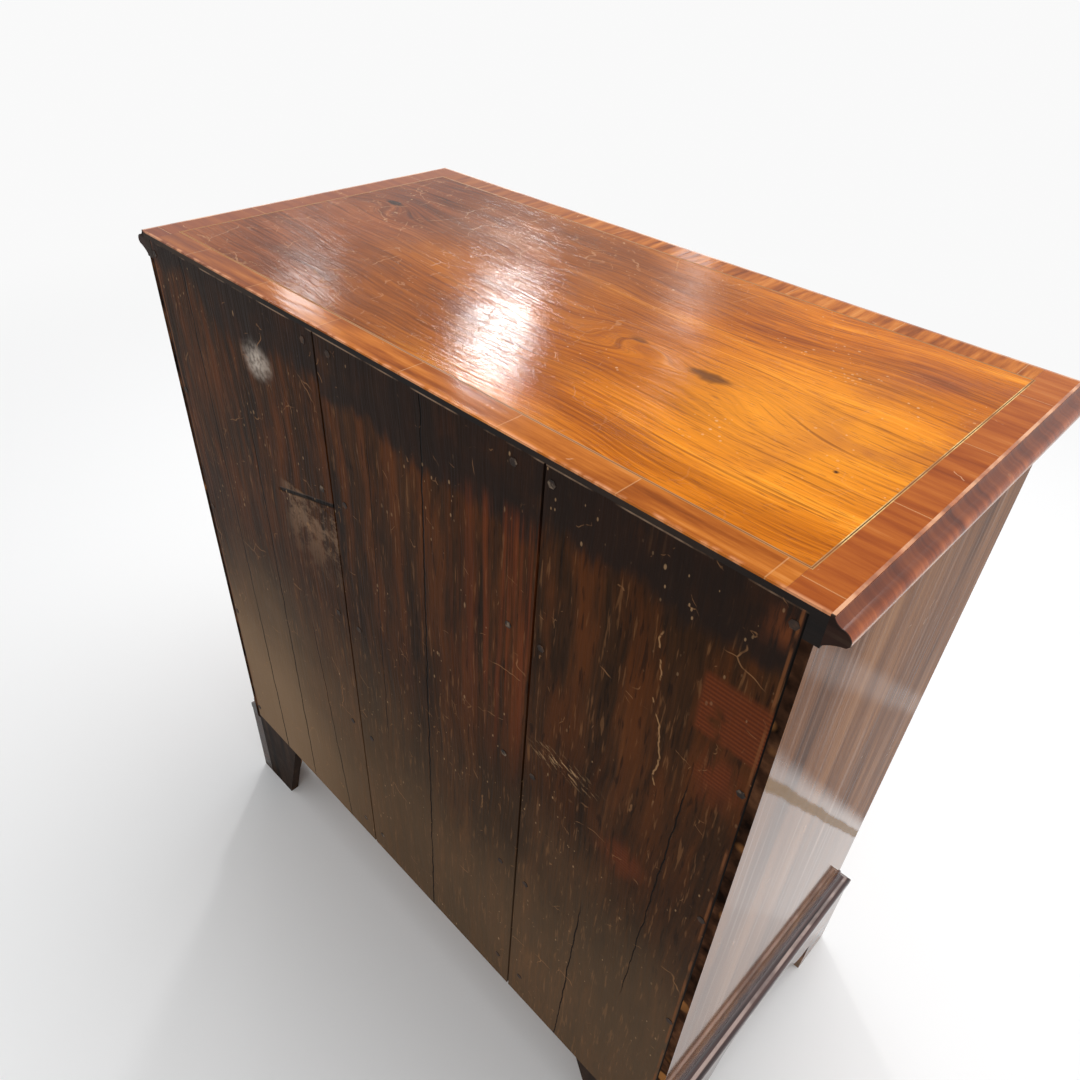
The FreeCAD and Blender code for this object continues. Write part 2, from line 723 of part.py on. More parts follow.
def make_bracket(name, hand, mitred, spot, turn):
    body = new_body(name)
    start = hand * d.foot_out if mitred else Size.of(0)
    pad(body, "XZ_Plane", bracket_outline(hand, start), -d.foot_out, bracket_thick - d.foot_out)
    if mitred:
        cut_mitre(body, Size.of(0), hand, d.foot_out, bracket_thick, -1, d.foot_height + 1)
    place(body, *spot, turn=turn)
    return body


def make_rear_bracket(name, hand):
    """The plain diagonal bracket at the back, of the same stock as the back boards."""
    outer = half_back
    foot = lambda across: back_foot(hand * across)
    corners = [(hand * d.rear_floor, 0), (hand * outer, 0), (hand * outer, foot(outer)),
               (hand * d.rear_top, foot(d.rear_top))]
    body = new_body(name)
    pad(body, "XZ_Plane", corners, inner_back_y, back_y)
    return body


def make_glue_block(hand, corner_y, into):
    """An upright block glued in the corner of a foot, its free corner planed off."""
    corner_x = half_back
    inner_x, inner_y = corner_x - d.block_side, corner_y + into * d.block_side
    corners = [
        (hand * corner_x, corner_y), (hand * corner_x, inner_y),
        (hand * (inner_x + d.block_chamfer), inner_y), (hand * inner_x, inner_y - into * d.block_chamfer),
        (hand * inner_x, corner_y),
    ]
    body = new_body("glue_block")
    pad(body, "XY_Plane", corners, d.block_rise, d.foot_height)
    return body


def make_feet():
    for name, hand, turn in (("left", -1, LEFT_TURN), ("right", 1, RIGHT_TURN)):
        front_corner = (hand * half_case, front_y)
        rear_corner = (hand * half_case, back_y)
        node(f"foot_front_{name}", group("foot", [
            make_bracket("front_bracket", hand, True, front_corner, FRONT_TURN),
            make_bracket("end_bracket", -hand, True, front_corner, turn),
        ]))
        node(f"foot_rear_{name}", group("foot", [
            make_bracket("end_bracket", hand, False, rear_corner, turn),
            make_rear_bracket("rear_bracket", hand),
        ]))
    front_inside = front_y - d.foot_out + bracket_thick
    blocks = []
    for hand in (-1, 1):
        blocks.append(make_glue_block(hand, front_inside, 1))
        blocks.append(make_glue_block(hand, inner_back_y, -1))
    node("foot_glue_blocks", group("foot_glue_blocks", blocks))


# ---- the drawers ----

def tail_middles(low, high):
    """Heights of the dovetails between two levels, evenly spaced."""
    pitch = (high - low) / TAILS
    return [low + pitch * (i + 0.5) for i in range(TAILS)]


def tail_corners(root, end, middle):
    """One dovetail seen from the drawer's side, upwards: narrow at its root and wide at its end."""
    narrow = d.tail_root / 2
    wide = narrow + d.tail_flare
    return [(root, middle - narrow), (end, middle - wide), (end, middle + wide), (root, middle + narrow)]


class Drawer:
    """The levels and faces that the pieces of one drawer share."""

    def __init__(self, number, low, high):
        self.name = f"drawer_{number}"
        self.low = low
        self.face_low = low + d.drawer_lift
        self.face_high = high - d.drawer_clear
        self.side_high = high - d.drawer_side_drop
        self.panel_low = low + d.panel_rise
        self.panel_high = self.panel_low + d.panel_thick
        self.front_end = front_y + d.lap
        self.front_root = front_y + d.front_thick
        self.back_end = front_y + d.drawer_length
        self.back_root = self.back_end - d.drawer_back_thick
        self.half_inner = half_drawer - d.drawer_side_thick
        self.tails = tail_middles(self.panel_high, self.side_high)
        self.post_level = (self.face_low + self.face_high) / 2 + d.handle_lift


def cut_sockets(body, drawer, root, end, into):
    """Cuts the sockets for the dovetails into both ends of a front or a back."""
    for hand in (-1, 1):
        sketch = between(body, "Pocket", "YZ_Plane", hand * drawer.half_inner, hand * (half_drawer + 1))
        for middle in drawer.tails:
            corners = tail_corners(root, end, middle)
            mouth = [(root + into, corners[3][1]), (root + into, corners[0][1])]
            trace(sketch, corners + mouth)


def keyhole(drop):
    """Keyhole outline round a middle that lies at a height: a round head over a straight slot."""
    half = d.key_slot / 2
    shoulder = drop - (d.key_radius * d.key_radius - half * half).root()
    return [(-half, drop - d.key_length), (half, drop - d.key_length), (half, shoulder),
            (0, drop + d.key_radius, d.key_radius), (-half, shoulder, d.key_radius)]


def make_drawer_front(drawer):
    """A board with a rebate round its face for the bead, sockets, a groove, a lock mortise and post holes."""
    body = new_body(f"{drawer.name}_front")
    half_face = half_drawer - d.bead_thick
    pad(body, "XZ_Plane", rectangle(-half_drawer, half_drawer, drawer.face_low, drawer.face_high),
        drawer.front_end, drawer.front_root)
    pad(body, "XZ_Plane", rectangle(-half_face, half_face, drawer.face_low + d.bead_thick,
                                    drawer.face_high - d.bead_thick), front_y, drawer.front_end)
    cut_sockets(body, drawer, drawer.front_root, drawer.front_end, 1)
    reach = drawer.half_inner + d.groove_deep
    pocket(body, "XZ_Plane", rectangle(-reach, reach, drawer.panel_low, drawer.panel_high),
           drawer.front_root - d.groove_deep, drawer.front_root + 1)
    lock_top = drawer.face_high - d.lock_drop
    pocket(body, "XZ_Plane", rectangle(-d.lock_width / 2, d.lock_width / 2, lock_top - d.lock_height, lock_top),
           drawer.front_root - d.lock_thick, drawer.front_root + 1)
    pocket(body, "XZ_Plane", keyhole(lock_top - d.key_drop), front_y - 1, drawer.front_root - d.lock_thick)
    holes = between(body, "Pocket", "XZ_Plane", front_y - 1, drawer.front_root + 1)
    for spot in post_places():
        trace(holes, square(spot, drawer.post_level, d.shank_hole))
    node(f"{drawer.name}_front", body)


def make_cock_bead(drawer):
    """Four mitred strips round the face, let into its rebate and rounded in front."""
    half, low, high = half_drawer, drawer.face_low, drawer.face_high
    in_half, in_low, in_high = half - d.bead_thick, low + d.bead_thick, high - d.bead_thick
    outlines = [
        [(-half, high), (half, high), (in_half, in_high), (-in_half, in_high)],
        [(-half, low), (half, low), (in_half, in_low), (-in_half, in_low)],
        [(-half, low), (-in_half, in_low), (-in_half, in_high), (-half, high)],
        [(half, low), (in_half, in_low), (in_half, in_high), (half, high)],
    ]
    nose = front_y - d.bead_proud
    strips = []
    for outline in outlines:
        body = new_body("bead_strip")
        pad(body, "XZ_Plane", outline, nose, drawer.front_end)
        round_edges(body, d.bead_round, lambda edge: is_long_front_edge(edge, nose.value))
        strips.append(body)
    node(f"{drawer.name}_cock_bead", group(f"{drawer.name}_cock_bead", strips))


def is_long_front_edge(edge, depth):
    """An edge along a strip, at its very front, and not one of its mitres."""
    start, end = edge.Vertexes[0].Point, edge.Vertexes[-1].Point
    run = end - start
    in_front = abs(start.y - depth) < 0.01 and abs(end.y - depth) < 0.01
    return in_front and min(abs(run.x), abs(run.z)) < 0.01


def make_drawer_side(drawer, hand):
    body = new_body(f"{drawer.name}_side")
    corners = [(drawer.front_root, drawer.low), (drawer.back_end, drawer.low),
               (drawer.back_end, drawer.panel_high), (drawer.back_root, drawer.panel_high)]
    for middle in drawer.tails:
        corners += tail_corners(drawer.back_root, drawer.back_end, middle)
    corners += [(drawer.back_root, drawer.side_high), (drawer.front_root, drawer.side_high)]
    for middle in reversed(drawer.tails):
        corners += reversed(tail_corners(drawer.front_root, drawer.front_end, middle))
    inner = hand * drawer.half_inner
    pad(body, "YZ_Plane", corners, inner, hand * half_drawer)
    pocket(body, "YZ_Plane", rectangle(drawer.front_root - 1, drawer.back_end + 1, drawer.panel_low,
                                       drawer.panel_high), inner, hand * (drawer.half_inner + d.groove_deep))
    return body


def make_drawer_back(drawer):
    body = new_body(f"{drawer.name}_back")
    top = drawer.side_high - d.drawer_back_drop
    pad(body, "XZ_Plane", rectangle(-half_drawer, half_drawer, drawer.panel_high, top), drawer.back_root,
        drawer.back_end)
    cut_sockets(body, drawer, drawer.back_root, drawer.back_end, -1)
    node(f"{drawer.name}_back", body)


def make_drawer_box(drawer):
    sides = [make_drawer_side(drawer, hand) for hand in (-1, 1)]
    node(f"{drawer.name}_sides", group(f"{drawer.name}_sides", sides))
    make_drawer_back(drawer)
    reach = drawer.half_inner + d.groove_deep - d.groove_slack
    panel_front = drawer.front_root - d.groove_deep + d.groove_slack
    node(f"{drawer.name}_bottom", block(f"{drawer.name}_bottom", (-reach, panel_front, drawer.panel_low),
                                        (reach, drawer.back_end, drawer.panel_high)))


# ---- the brasses ----

def post_places():
    """How far each of a drawer's four posts stands from the middle."""
    return [hand * d.handle_offset + side * half_posts for hand in (-1, 1) for side in (-1, 1)]


def plate_corners(across, up, half_width, half_height):
    """The back plates' outline at a place and size, going round to the left."""
    right = [(half_width * PLATE_OUTLINE[0][0], half_height * PLATE_OUTLINE[0][1])]
    for share_x, share_z, bulge in PLATE_OUTLINE[1:]:
        corner = (half_width * share_x, half_height * share_z)
        run_x, run_z = corner[0] - right[-1][0], corner[1] - right[-1][1]
        right.append((*corner, (run_x * run_x + run_z * run_z).root() * bulge))
    radii = [corner[2] for corner in right[1:]]
    left = [(-corner[0], corner[1], radius) for corner, radius in zip(right[-2::-1], reversed(radii))]
    return [(across + x, up + z, r) for x, z, r in right[1:] + left]


def make_plate(label, across, up, half_width, half_height, openings):
    """A shaped brass plate on the drawer's face. Openings draws its holes."""
    body = new_body(label)
    sketch = between(body, "Pad", "XZ_Plane", front_y - d.plate_thick, front_y)
    trace(sketch, plate_corners(across, up, half_width, half_height))
    openings(sketch)
    return body


def make_post(across, up, outward):
    """A knob on a neck, then a square shank through the drawer front and its nut. Outward is 1 where the bail's pin
    comes in from +X."""
    body = new_body("post")
    knob = (-d.knob_reach - d.knob_half, -d.knob_reach + d.knob_half)
    pad(body, "XZ_Plane", octagon(d.knob_radius), *knob)
    bevel_ends(body, "Y", knob, d.knob_bevel_length, d.knob_bevel_depth)
    pad(body, "XZ_Plane", octagon(d.neck_radius), knob[1] - d.knob_bevel_length, 0)
    pad(body, "XZ_Plane", octagon(d.collar_radius), -d.collar_thick, 0)
    bevel_ends(body, "Y", [-d.collar_thick], d.collar_bevel, d.collar_bevel)
    seat = d.plate_thick + d.front_thick
    pad(body, "XZ_Plane", square(Size.of(0), Size.of(0), d.shank), 0, seat)
    pad(body, "XZ_Plane", square(Size.of(0), Size.of(0), d.nut_side), seat, seat + d.nut_thick)
    hole = between(body, "Pocket", "YZ_Plane", -outward * (d.pin_inside + d.pin_slack), outward * (d.knob_radius + 1))
    ring(hole, -d.knob_reach, 0, d.pin_hole)
    place(body, across, front_y - d.plate_thick, up)
    return body


def make_bail(name, across, up):
    """A bent bar with round pins that turn inwards into the knobs, and a swelling in the middle of its grip."""
    body = new_body(name)
    grip = (-d.grip_half, d.grip_half)
    pad(body, "YZ_Plane", octagon(d.grip_radius, -d.bail_drop), *grip)
    bevel_ends(body, "X", grip, d.grip_bevel_length, d.grip_bevel_depth)
    shoulder = half_posts + d.knob_radius + d.pin_slack
    arm = shoulder + d.bail_bend
    right = [(arm, -(d.bail_drop - d.bail_corner), d.bail_corner), (arm, -d.bail_bend),
             (shoulder, 0, d.bail_bend)]
    left = [(-shoulder, 0), (-arm, -d.bail_bend, d.bail_bend), (-arm, -(d.bail_drop - d.bail_corner)),
            (-(arm - d.bail_corner), -d.bail_drop, d.bail_corner), (arm - d.bail_corner, -d.bail_drop)]
    path = sketch_on(body, "XZ_Plane")
    trace(path, left + right, closed=False)
    section = sketch_on(body, "YZ_Plane", -shoulder)
    trace(section, octagon(d.bail_radius))
    doc.recompute()
    bent = body.newObject("PartDesign::AdditivePipe", "bail_bent")
    bent.Profile = section
    bent.Spine = path
    doc.recompute()
    for hand in (-1, 1):
        pin = between(body, "Pad", "YZ_Plane", hand * (half_posts - d.pin_inside), hand * shoulder)
        ring(pin, 0, 0, d.pin_radius)
    place(body, across, front_y - d.plate_thick - d.knob_reach, up)
    node(name, body)


def make_brasses(drawer):
    """Back plates, posts, escutcheon and lock of one drawer, and its two bails."""
    pieces = []
    for hand in (-1, 1):
        middle = hand * d.handle_offset
        def post_holes(sketch):
            for side in (-1, 1):
                trace(sketch, square(middle + side * half_posts, drawer.post_level, d.shank_hole))
        pieces.append(make_plate("back_plate", middle, drawer.post_level, d.plate_half_width,
                                 d.plate_half_height, post_holes))
    for index, spot in enumerate(post_places()):
        pieces.append(make_post(spot, drawer.post_level, 1 if index % 2 else -1))
    lock_top = drawer.face_high - d.lock_drop
    key_level = lock_top - d.key_drop
    pieces.append(make_plate("escutcheon", Size.of(0), key_level - d.escutcheon_drop, d.escutcheon_half_width,
                             d.escutcheon_half_height, lambda sketch: trace(sketch, keyhole(key_level))))
    pieces.append(block("lock", (-d.lock_width / 2, drawer.front_root - d.lock_thick, lock_top - d.lock_height),
                        (d.lock_width / 2, drawer.front_root, lock_top)))
    node(f"{drawer.name}_brasses", group(f"{drawer.name}_brasses", pieces))
    for side, hand in (("left", -1), ("right", 1)):
        make_bail(f"{drawer.name}_bail_{side}", hand * d.handle_offset, drawer.post_level)


def make_drawers():
    for number, (low, high) in enumerate(OPENINGS, start=1):
        drawer = Drawer(number, low, high)
        make_drawer_front(drawer)
        make_cock_bead(drawer)
        make_drawer_box(drawer)
        make_brasses(drawer)


# ---- checking and writing ----

def faults():
    """Names everything that failed, is empty or isn't valid, and pockets that cut nothing."""
    found = []
    for thing in doc.Objects:
        if {"Invalid", "Error"} & set(thing.State):
            found.append(f"{thing.Name} is {thing.State}")
        if thing.TypeId == "PartDesign::Pocket":
            base = thing.BaseFeature.Shape.Volume
            if not thing.Shape.Volume < base - 0.01:
                found.append(f"{thing.Name} cuts nothing")
    for thing in nodes:
        if thing.Shape.isNull() or not thing.Shape.isValid():
            found.append(f"{thing.Label} has no valid shape")
    return found


def write_nodes():
    os.makedirs("parts", exist_ok=True)
    for thing in nodes:
        thing.Shape.exportStep(f"parts/{thing.Label}.step")


make_top()
make_case()
make_back()
make_feet()
make_drawers()
doc.recompute()
problems = faults()
if problems:
    raise SystemExit("\n".join(problems))
write_nodes()
box = Part.makeCompound([thing.Shape for thing in nodes]).BoundBox
print(len(nodes), "nodes,", sum(len(thing.Shape.Solids) for thing in nodes), "solids")
print("box", [round(v, 2) for v in (box.XMin, box.YMin, box.ZMin, box.XMax, box.YMax, box.ZMax)])
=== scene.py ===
# %% [markdown]
# # The finishes of a bachelor's chest
#
# The chest comes in as a fixed frame of named solids, in metres, with Z up, the drawers towards -Y and the rough
# back towards +Y. Nothing here moves or reshapes them. What this file adds is the look of long use: oiled walnut,
# stained pine, dull brass, and the small fixings that are too fine for the solids.

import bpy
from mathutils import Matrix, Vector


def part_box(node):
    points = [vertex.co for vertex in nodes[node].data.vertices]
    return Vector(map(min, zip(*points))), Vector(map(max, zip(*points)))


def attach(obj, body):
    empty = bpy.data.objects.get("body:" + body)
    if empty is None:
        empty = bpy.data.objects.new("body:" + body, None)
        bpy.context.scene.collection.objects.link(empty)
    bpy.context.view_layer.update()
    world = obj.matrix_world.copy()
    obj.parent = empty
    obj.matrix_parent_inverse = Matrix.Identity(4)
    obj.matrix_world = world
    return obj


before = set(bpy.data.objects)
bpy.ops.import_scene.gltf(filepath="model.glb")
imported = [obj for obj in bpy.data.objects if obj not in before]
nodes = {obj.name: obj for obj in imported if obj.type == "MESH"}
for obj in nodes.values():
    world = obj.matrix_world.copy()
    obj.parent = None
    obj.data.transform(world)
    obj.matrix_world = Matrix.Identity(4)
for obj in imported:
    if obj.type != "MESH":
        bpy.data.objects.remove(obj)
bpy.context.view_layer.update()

import math

import bmesh
import bpy
from mathutils import Matrix, Vector

scene = bpy.context.scene

# %% [markdown]
# ## Places read from the frame
#
# Stains, splits and inlay have to sit where the joiner's pieces are. Their places are worked out from the solids'
# own boxes, so that they stay right when the chest is made in another size.

# %% Levels and edges of the chest
top_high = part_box("top_crossbanding")[1]
field_low, field_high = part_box("top_field")
side_low, side_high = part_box("side_right")
board_low, board_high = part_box("back_board_right")
mould_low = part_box("top_moulding_front")[0]
base_low, base_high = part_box("base_moulding_front")

TOP = top_high.z
BACK = top_high.y
BOARDS_TOP = board_high.z
CASE_OUT = side_high.x
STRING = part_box("top_stringing")[1].x - field_high.x
print(f"top at {TOP:.3f} m, back at {BACK:.3f} m, string {STRING * 1000:.1f} mm wide")

# %% [markdown]
# ## Writing a material like a sum
#
# A material is a small network of nodes. Wiring it by hand hides what it says, so one class wraps a socket and lets
# Python's own signs add the Math nodes: `1 - mask * 0.5` is then a piece of network. Colours never go through Math
# nodes, which would turn them grey. They have methods of their own.

# %% A socket that can be used in a sum
class Wire:
    """A value in a material. Sums with it add nodes."""

    def __init__(self, finish, socket):
        self.finish = finish
        self.socket = socket

    def math(self, operation, *values):
        return self.finish.node("ShaderNodeMath", {"operation": operation}, values)

    def __add__(self, other):
        return self.math("ADD", self, other)

    def __sub__(self, other):
        return self.math("SUBTRACT", self, other)

    def __rsub__(self, other):
        return self.math("SUBTRACT", other, self)

    def __mul__(self, other):
        return self.math("MULTIPLY", self, other)

    def __truediv__(self, other):
        return self.math("DIVIDE", self, other)

    def __abs__(self):
        return self.math("ABSOLUTE", self)

    def __mod__(self, other):
        return self.math("FLOORED_MODULO", self, other)

    __radd__ = __add__
    __rmul__ = __mul__

    def least(self, other):
        return self.math("MINIMUM", self, other)

    def most(self, other):
        return self.math("MAXIMUM", self, other)

    def sine(self):
        return self.math("SINE", self)

    def rise(self, low, high):
        """A smooth step from 0 at low to 1 at high. With low above high it falls instead."""
        settings = {"interpolation_type": "SMOOTHSTEP"}
        return self.finish.node("ShaderNodeMapRange", settings, (self, low, high, 0.0, 1.0))

    def colours(self, *stops):
        """A colour ramp. Each stop is (position, red, green, blue)."""
        charted = [(position, shade(*chart)) for position, *chart in stops]
        return self.finish.node("ShaderNodeValToRGB", {"stops": charted}, (self,))


print("a wire has", ", ".join(name for name in vars(Wire) if not name.startswith("_")))

# %% [markdown]
# ## One finish at a time
#
# A `Finish` is a material with its shader. What is the same all over is set on the shader once, by name. What
# changes from place to place is wired in at the end, by `wear`. Colours are written as a painter would pick them
# from a chart, 0 to 255, and turned into the light values that the renderer works with.

# %% A material under construction
def shade(red, green, blue):
    """A chart colour as linear light."""
    def linear(value):
        value /= 255
        return value / 12.92 if value <= 0.04045 else ((value + 0.055) / 1.055) ** 2.4
    return (linear(red), linear(green), linear(blue), 1.0)


class Finish:
    """A material, its shader and the place of the point that is being coloured."""

    def __init__(self, name, **constants):
        self.material = bpy.data.materials.new(name)
        self.material.use_nodes = True
        self.tree = self.material.node_tree
        self.shader = self.tree.nodes["Principled BSDF"]
        for socket, value in constants.items():
            self.shader.inputs[socket.replace("_", " ")].default_value = value
        self.here = self.node("ShaderNodeTexCoord", output="Object")
        self.x, self.y, self.z = [self.node("ShaderNodeSeparateXYZ", inputs=(self.here,), output=axis)
                                  for axis in "XYZ"]

    def node(self, kind, settings=None, inputs=(), output=0):
        """Any node: its settings first, then the numbers or wires of its sockets."""
        made = self.tree.nodes.new(kind)
        for name, value in (settings or {}).items():
            if name == "stops":
                self.set_stops(made.color_ramp.elements, value)
            else:
                setattr(made, name, value)
        pairs = inputs.items() if isinstance(inputs, dict) else enumerate(inputs)
        for key, value in pairs:
            self.join(value, made.inputs[key])
        return Wire(self, made.outputs[output])

    @staticmethod
    def set_stops(elements, stops):
        while len(elements) < len(stops):
            elements.new(1.0)
        for element, (position, colour) in zip(elements, stops):
            element.position = position
            element.color = colour

    def join(self, value, socket):
        if isinstance(value, Wire):
            self.tree.links.new(value.socket, socket)
        else:
            socket.default_value = value

    def vector(self, operation, *values):
        return self.node("ShaderNodeVectorMath", {"operation": operation}, values)

    def distance(self, first, second):
        return self.node("ShaderNodeVectorMath", {"operation": "DISTANCE"}, (first, second), "Value")

    def point(self, x, y, z):
        return self.node("ShaderNodeCombineXYZ", inputs=(x, y, z))

    def blend(self, factor, first, second):
        """A colour between two others."""
        return self.node("ShaderNodeMix", {"data_type": "RGBA"}, {0: factor, 6: first, 7: second}, 2)

    def paint(self, colour, *layers):
        """Colours laid over one another. Each layer is (how much, red, green, blue)."""
        for much, *chart in layers:
            colour = self.blend(much, colour, shade(*chart))
        return colour

    def between(self, factor, first, second):
        """The first number where the factor is 0 and the second where it is 1."""
        return self.node("ShaderNodeMix", None, {0: factor, 2: first, 3: second})

    def noise(self, at, scale, detail, roughness=0.5):
        inputs = {"Vector": at, "Scale": scale, "Detail": detail, "Roughness": roughness}
        return self.node("ShaderNodeTexNoise", inputs=inputs)

    def cells(self, at, scale, feature="F1"):
        return self.node("ShaderNodeTexVoronoi", {"feature": feature}, {"Vector": at, "Scale": scale}, "Distance")

    def streaks(self, along, fine, long, seed, detail=4.0, at=None):
        """Noise drawn out along one axis, as fibres are. Fine and long are how often it changes in a metre."""
        scale = tuple(long if axis == along else fine for axis in "XYZ")
        drawn = self.vector("MULTIPLY_ADD", at or self.here, scale, (seed, seed * 1.7, seed * 2.3))
        return self.noise(drawn, 1.0, detail, 0.58)

    def wear(self, colour, roughness, height=None, depth=0.001, strength=0.5, **others):
        """Wires what changes over the surface into the shader."""
        wires = {"Base_Color": colour, "Roughness": roughness, **others}
        if height is not None:
            wires["Normal"] = self.node("ShaderNodeBump", inputs={"Strength": strength, "Distance": depth,
                                                                  "Height": height})
        for socket, value in wires.items():
            self.join(value, self.shader.inputs[socket.replace("_", " ")])
        print(f"finish {self.material.name}: {len(self.tree.nodes)} nodes")


def past(value, level, start=0.0006, end=0.0002):
    """1 where a place lies beyond a level, less two small distances that keep the border sharp."""
    return value.rise(level - start, level - end)


def dress(finish, *names):
    """Puts a finish on solids of the frame."""
    for name in names:
        slots = nodes[name].data.materials
        if len(slots) == 0:
            slots.append(finish.material)
        for index in range(len(slots)):
            slots[index] = finish.material

# %% [markdown]
# ## What time leaves on a surface
#
# Old furniture is never one colour. These helpers draw what comes back on every piece: hairline scratches where
# something was dragged, pale specks of dust and limewash, straight splits along the fibres, and soft round stains.
# A scratch is the thin edge between two cells of a bent pattern, broken up so that no line runs far.

# %% Scratches, specks, splits and stains
def scratches(finish, scale, width, cover, seed):
    """Broken hairlines. Scale is cells in a metre, width the line in cells and cover how much of it stays."""
    push = finish.node("ShaderNodeTexNoise", inputs={"Vector": finish.here, "Scale": scale * 0.9, "Detail": 4.0},
                       output="Color")
    bend = 0.9 / scale
    bent = finish.vector("MULTIPLY_ADD", push, (bend, bend, bend), finish.here)
    moved = finish.vector("ADD", bent, (seed, seed * 0.7, seed * 1.3))
    edge = finish.cells(moved, scale, "DISTANCE_TO_EDGE")
    broken = finish.noise(finish.here, scale * 1.9, 3.0).rise(1 - cover - 0.06, 1 - cover)
    return edge.rise(width, width * 0.3) * broken


def specks(finish, scale, size, cover, drawn=1.0):
    """Dots of uneven size in patches. With drawn below 1 they are long upright flecks."""
    at = finish.vector("MULTIPLY", finish.here, (1.0, 1.0, drawn))
    patches = finish.noise(finish.here, scale * 0.06, 2.0).rise(1 - cover - 0.05, 1 - cover + 0.05)
    growth = (finish.noise(finish.here, scale * 0.31, 1.0) * 3.4 - 0.9).most(0.02)
    return (finish.cells(at, scale) / growth).rise(size, size * 0.5) * patches


def split(finish, top, foot, width, ends=(0.0, 9.0)):
    """A split down a board. Top and foot are (x, z) points on its line, and ends its lowest and highest level."""
    slope = (foot[0] - top[0]) / (foot[1] - top[1])
    line = (finish.z - top[1]) * slope + top[0]
    wander = (finish.noise(finish.point(0.0, 0.0, finish.z), 34.0, 4.0) - 0.5) * 0.007
    gap = abs(finish.x - line - wander)
    thin = finish.noise(finish.point(top[0], 0.0, finish.z), 12.0, 2.0) * 1.4
    reach = finish.z.rise(ends[0] - 0.02, ends[0] + 0.02) * finish.z.rise(ends[1] + 0.02, ends[1] - 0.02)
    return (gap / (thin * width + width * 0.3)).rise(1.0, 0.45) * reach


def spot(finish, centre, size, squash=(1.0, 1.0, 1.0)):
    """A soft round stain: 1 in its middle and 0 at its size."""
    drawn = finish.vector("MULTIPLY", finish.here, squash)
    middle = tuple(value * share for value, share in zip(centre, squash))
    ragged = (finish.noise(finish.here, 60.0, 4.0) - 0.5) * size * 0.7
    return (finish.distance(drawn, middle) + ragged).rise(size, 0.0)


print("helpers ready for scratches, specks, splits and spots")

# %% [markdown]
# ## The face of the top
#
# The top is one wide sheet of hand-sawn walnut veneer, oiled and waxed until it glows. Its colour comes from three
# sizes of pattern: broad figure that flows round knots, fibres, and short dark pores. The figure is noise drawn out
# along the length, and each knot bends it by pushing its coordinates aside. The light has bleached one end to
# orange, and the other keeps more of its red.

# %% Walnut veneer with knots
KNOTS = [((0.279, -0.046), 0.027, 1.0), ((-0.168, 0.028), 0.036, 0.7), ((-0.097, 0.018), 0.020, 0.5)]


def bend_round_knots(finish, knots, push):
    """The place of a point with the fibres pushed aside by each knot, and a mask of the knots' hearts."""
    across, hearts = finish.y, None
    for (x, y), size, dark in knots:
        away = finish.distance(finish.vector("MULTIPLY", finish.here, (1.0, 2.3, 0.0)), (x, y * 2.3, 0.0))
        across = across + away.rise(size * 3.4, 0.0) * push
        ragged = (finish.noise(finish.here, 90.0, 3.0) - 0.5) * size * 0.5
        heart = (away + ragged).rise(size * 0.6, size * 0.25) * dark
        hearts = heart if hearts is None else hearts.most(heart)
    return finish.point(finish.x, across, finish.z), hearts


field = Finish("walnut_field", Specular_IOR_Level=0.05)
flow = (field.noise(field.here, 3.4, 2.0) - 0.5) * 0.09
bent, hearts = bend_round_knots(field, KNOTS, 0.024)
bent = field.vector("ADD", bent, field.point(0.0, flow, 0.0))
figure = field.streaks("X", 34.0, 3.6, 3.1, 6.0, bent)
clouds = field.streaks("X", 9.0, 4.0, 8.4, 3.0, bent)
fibres = field.streaks("X", 380.0, 14.0, 1.2, 4.0, bent)
pores = field.streaks("X", 760.0, 60.0, 5.0, 2.0).rise(0.56, 0.70)
dark_lines = field.streaks("X", 290.0, 9.0, 12.0, 4.0, bent).rise(0.53, 0.68)
tone = figure * 0.34 + clouds * 0.32 + fibres * 0.34
walnut = tone.colours((0.38, 134, 62, 4), (0.46, 176, 92, 8), (0.54, 206, 116, 16),
                      (0.63, 236, 150, 42))
red_walnut = tone.colours((0.38, 70, 32, 16), (0.46, 106, 52, 24), (0.54, 134, 70, 34),
                          (0.63, 162, 94, 54))
ripple = (field.noise(field.here, 6.0, 3.0) - 0.5) * 0.5
walnut = field.blend((field.x + ripple).rise(-0.14, 0.24), walnut, red_walnut)
walnut = field.blend(abs(field.x + ripple * 0.5 - 0.04).rise(0.26, 0.06) * 0.36, walnut, shade(124, 66, 10))
gold = field.distance(field.here, (-0.250, 0.040, TOP)).rise(0.15, 0.0)
walnut = field.blend(gold * 0.5, walnut, shade(255, 168, 44))
purple = field.noise(field.here, 11.0, 4.0).rise(0.52, 0.66) * field.x.rise(-0.20, -0.30)
walnut = field.paint(walnut, (purple * 0.45, 132, 66, 48), (dark_lines * 0.5, 92, 42, 8), (pores * 0.42, 96, 44, 14),
                     (hearts, 44, 22, 14))
print("knots at", [place for place, _, _ in KNOTS])

# %% [markdown]
# Wax lies unevenly: bright in places, grey and dull where dust was waxed in. Fine scratches show paler than the
# wood. The surface itself is not flat any more, and a faint ripple in the bump breaks up the reflections.

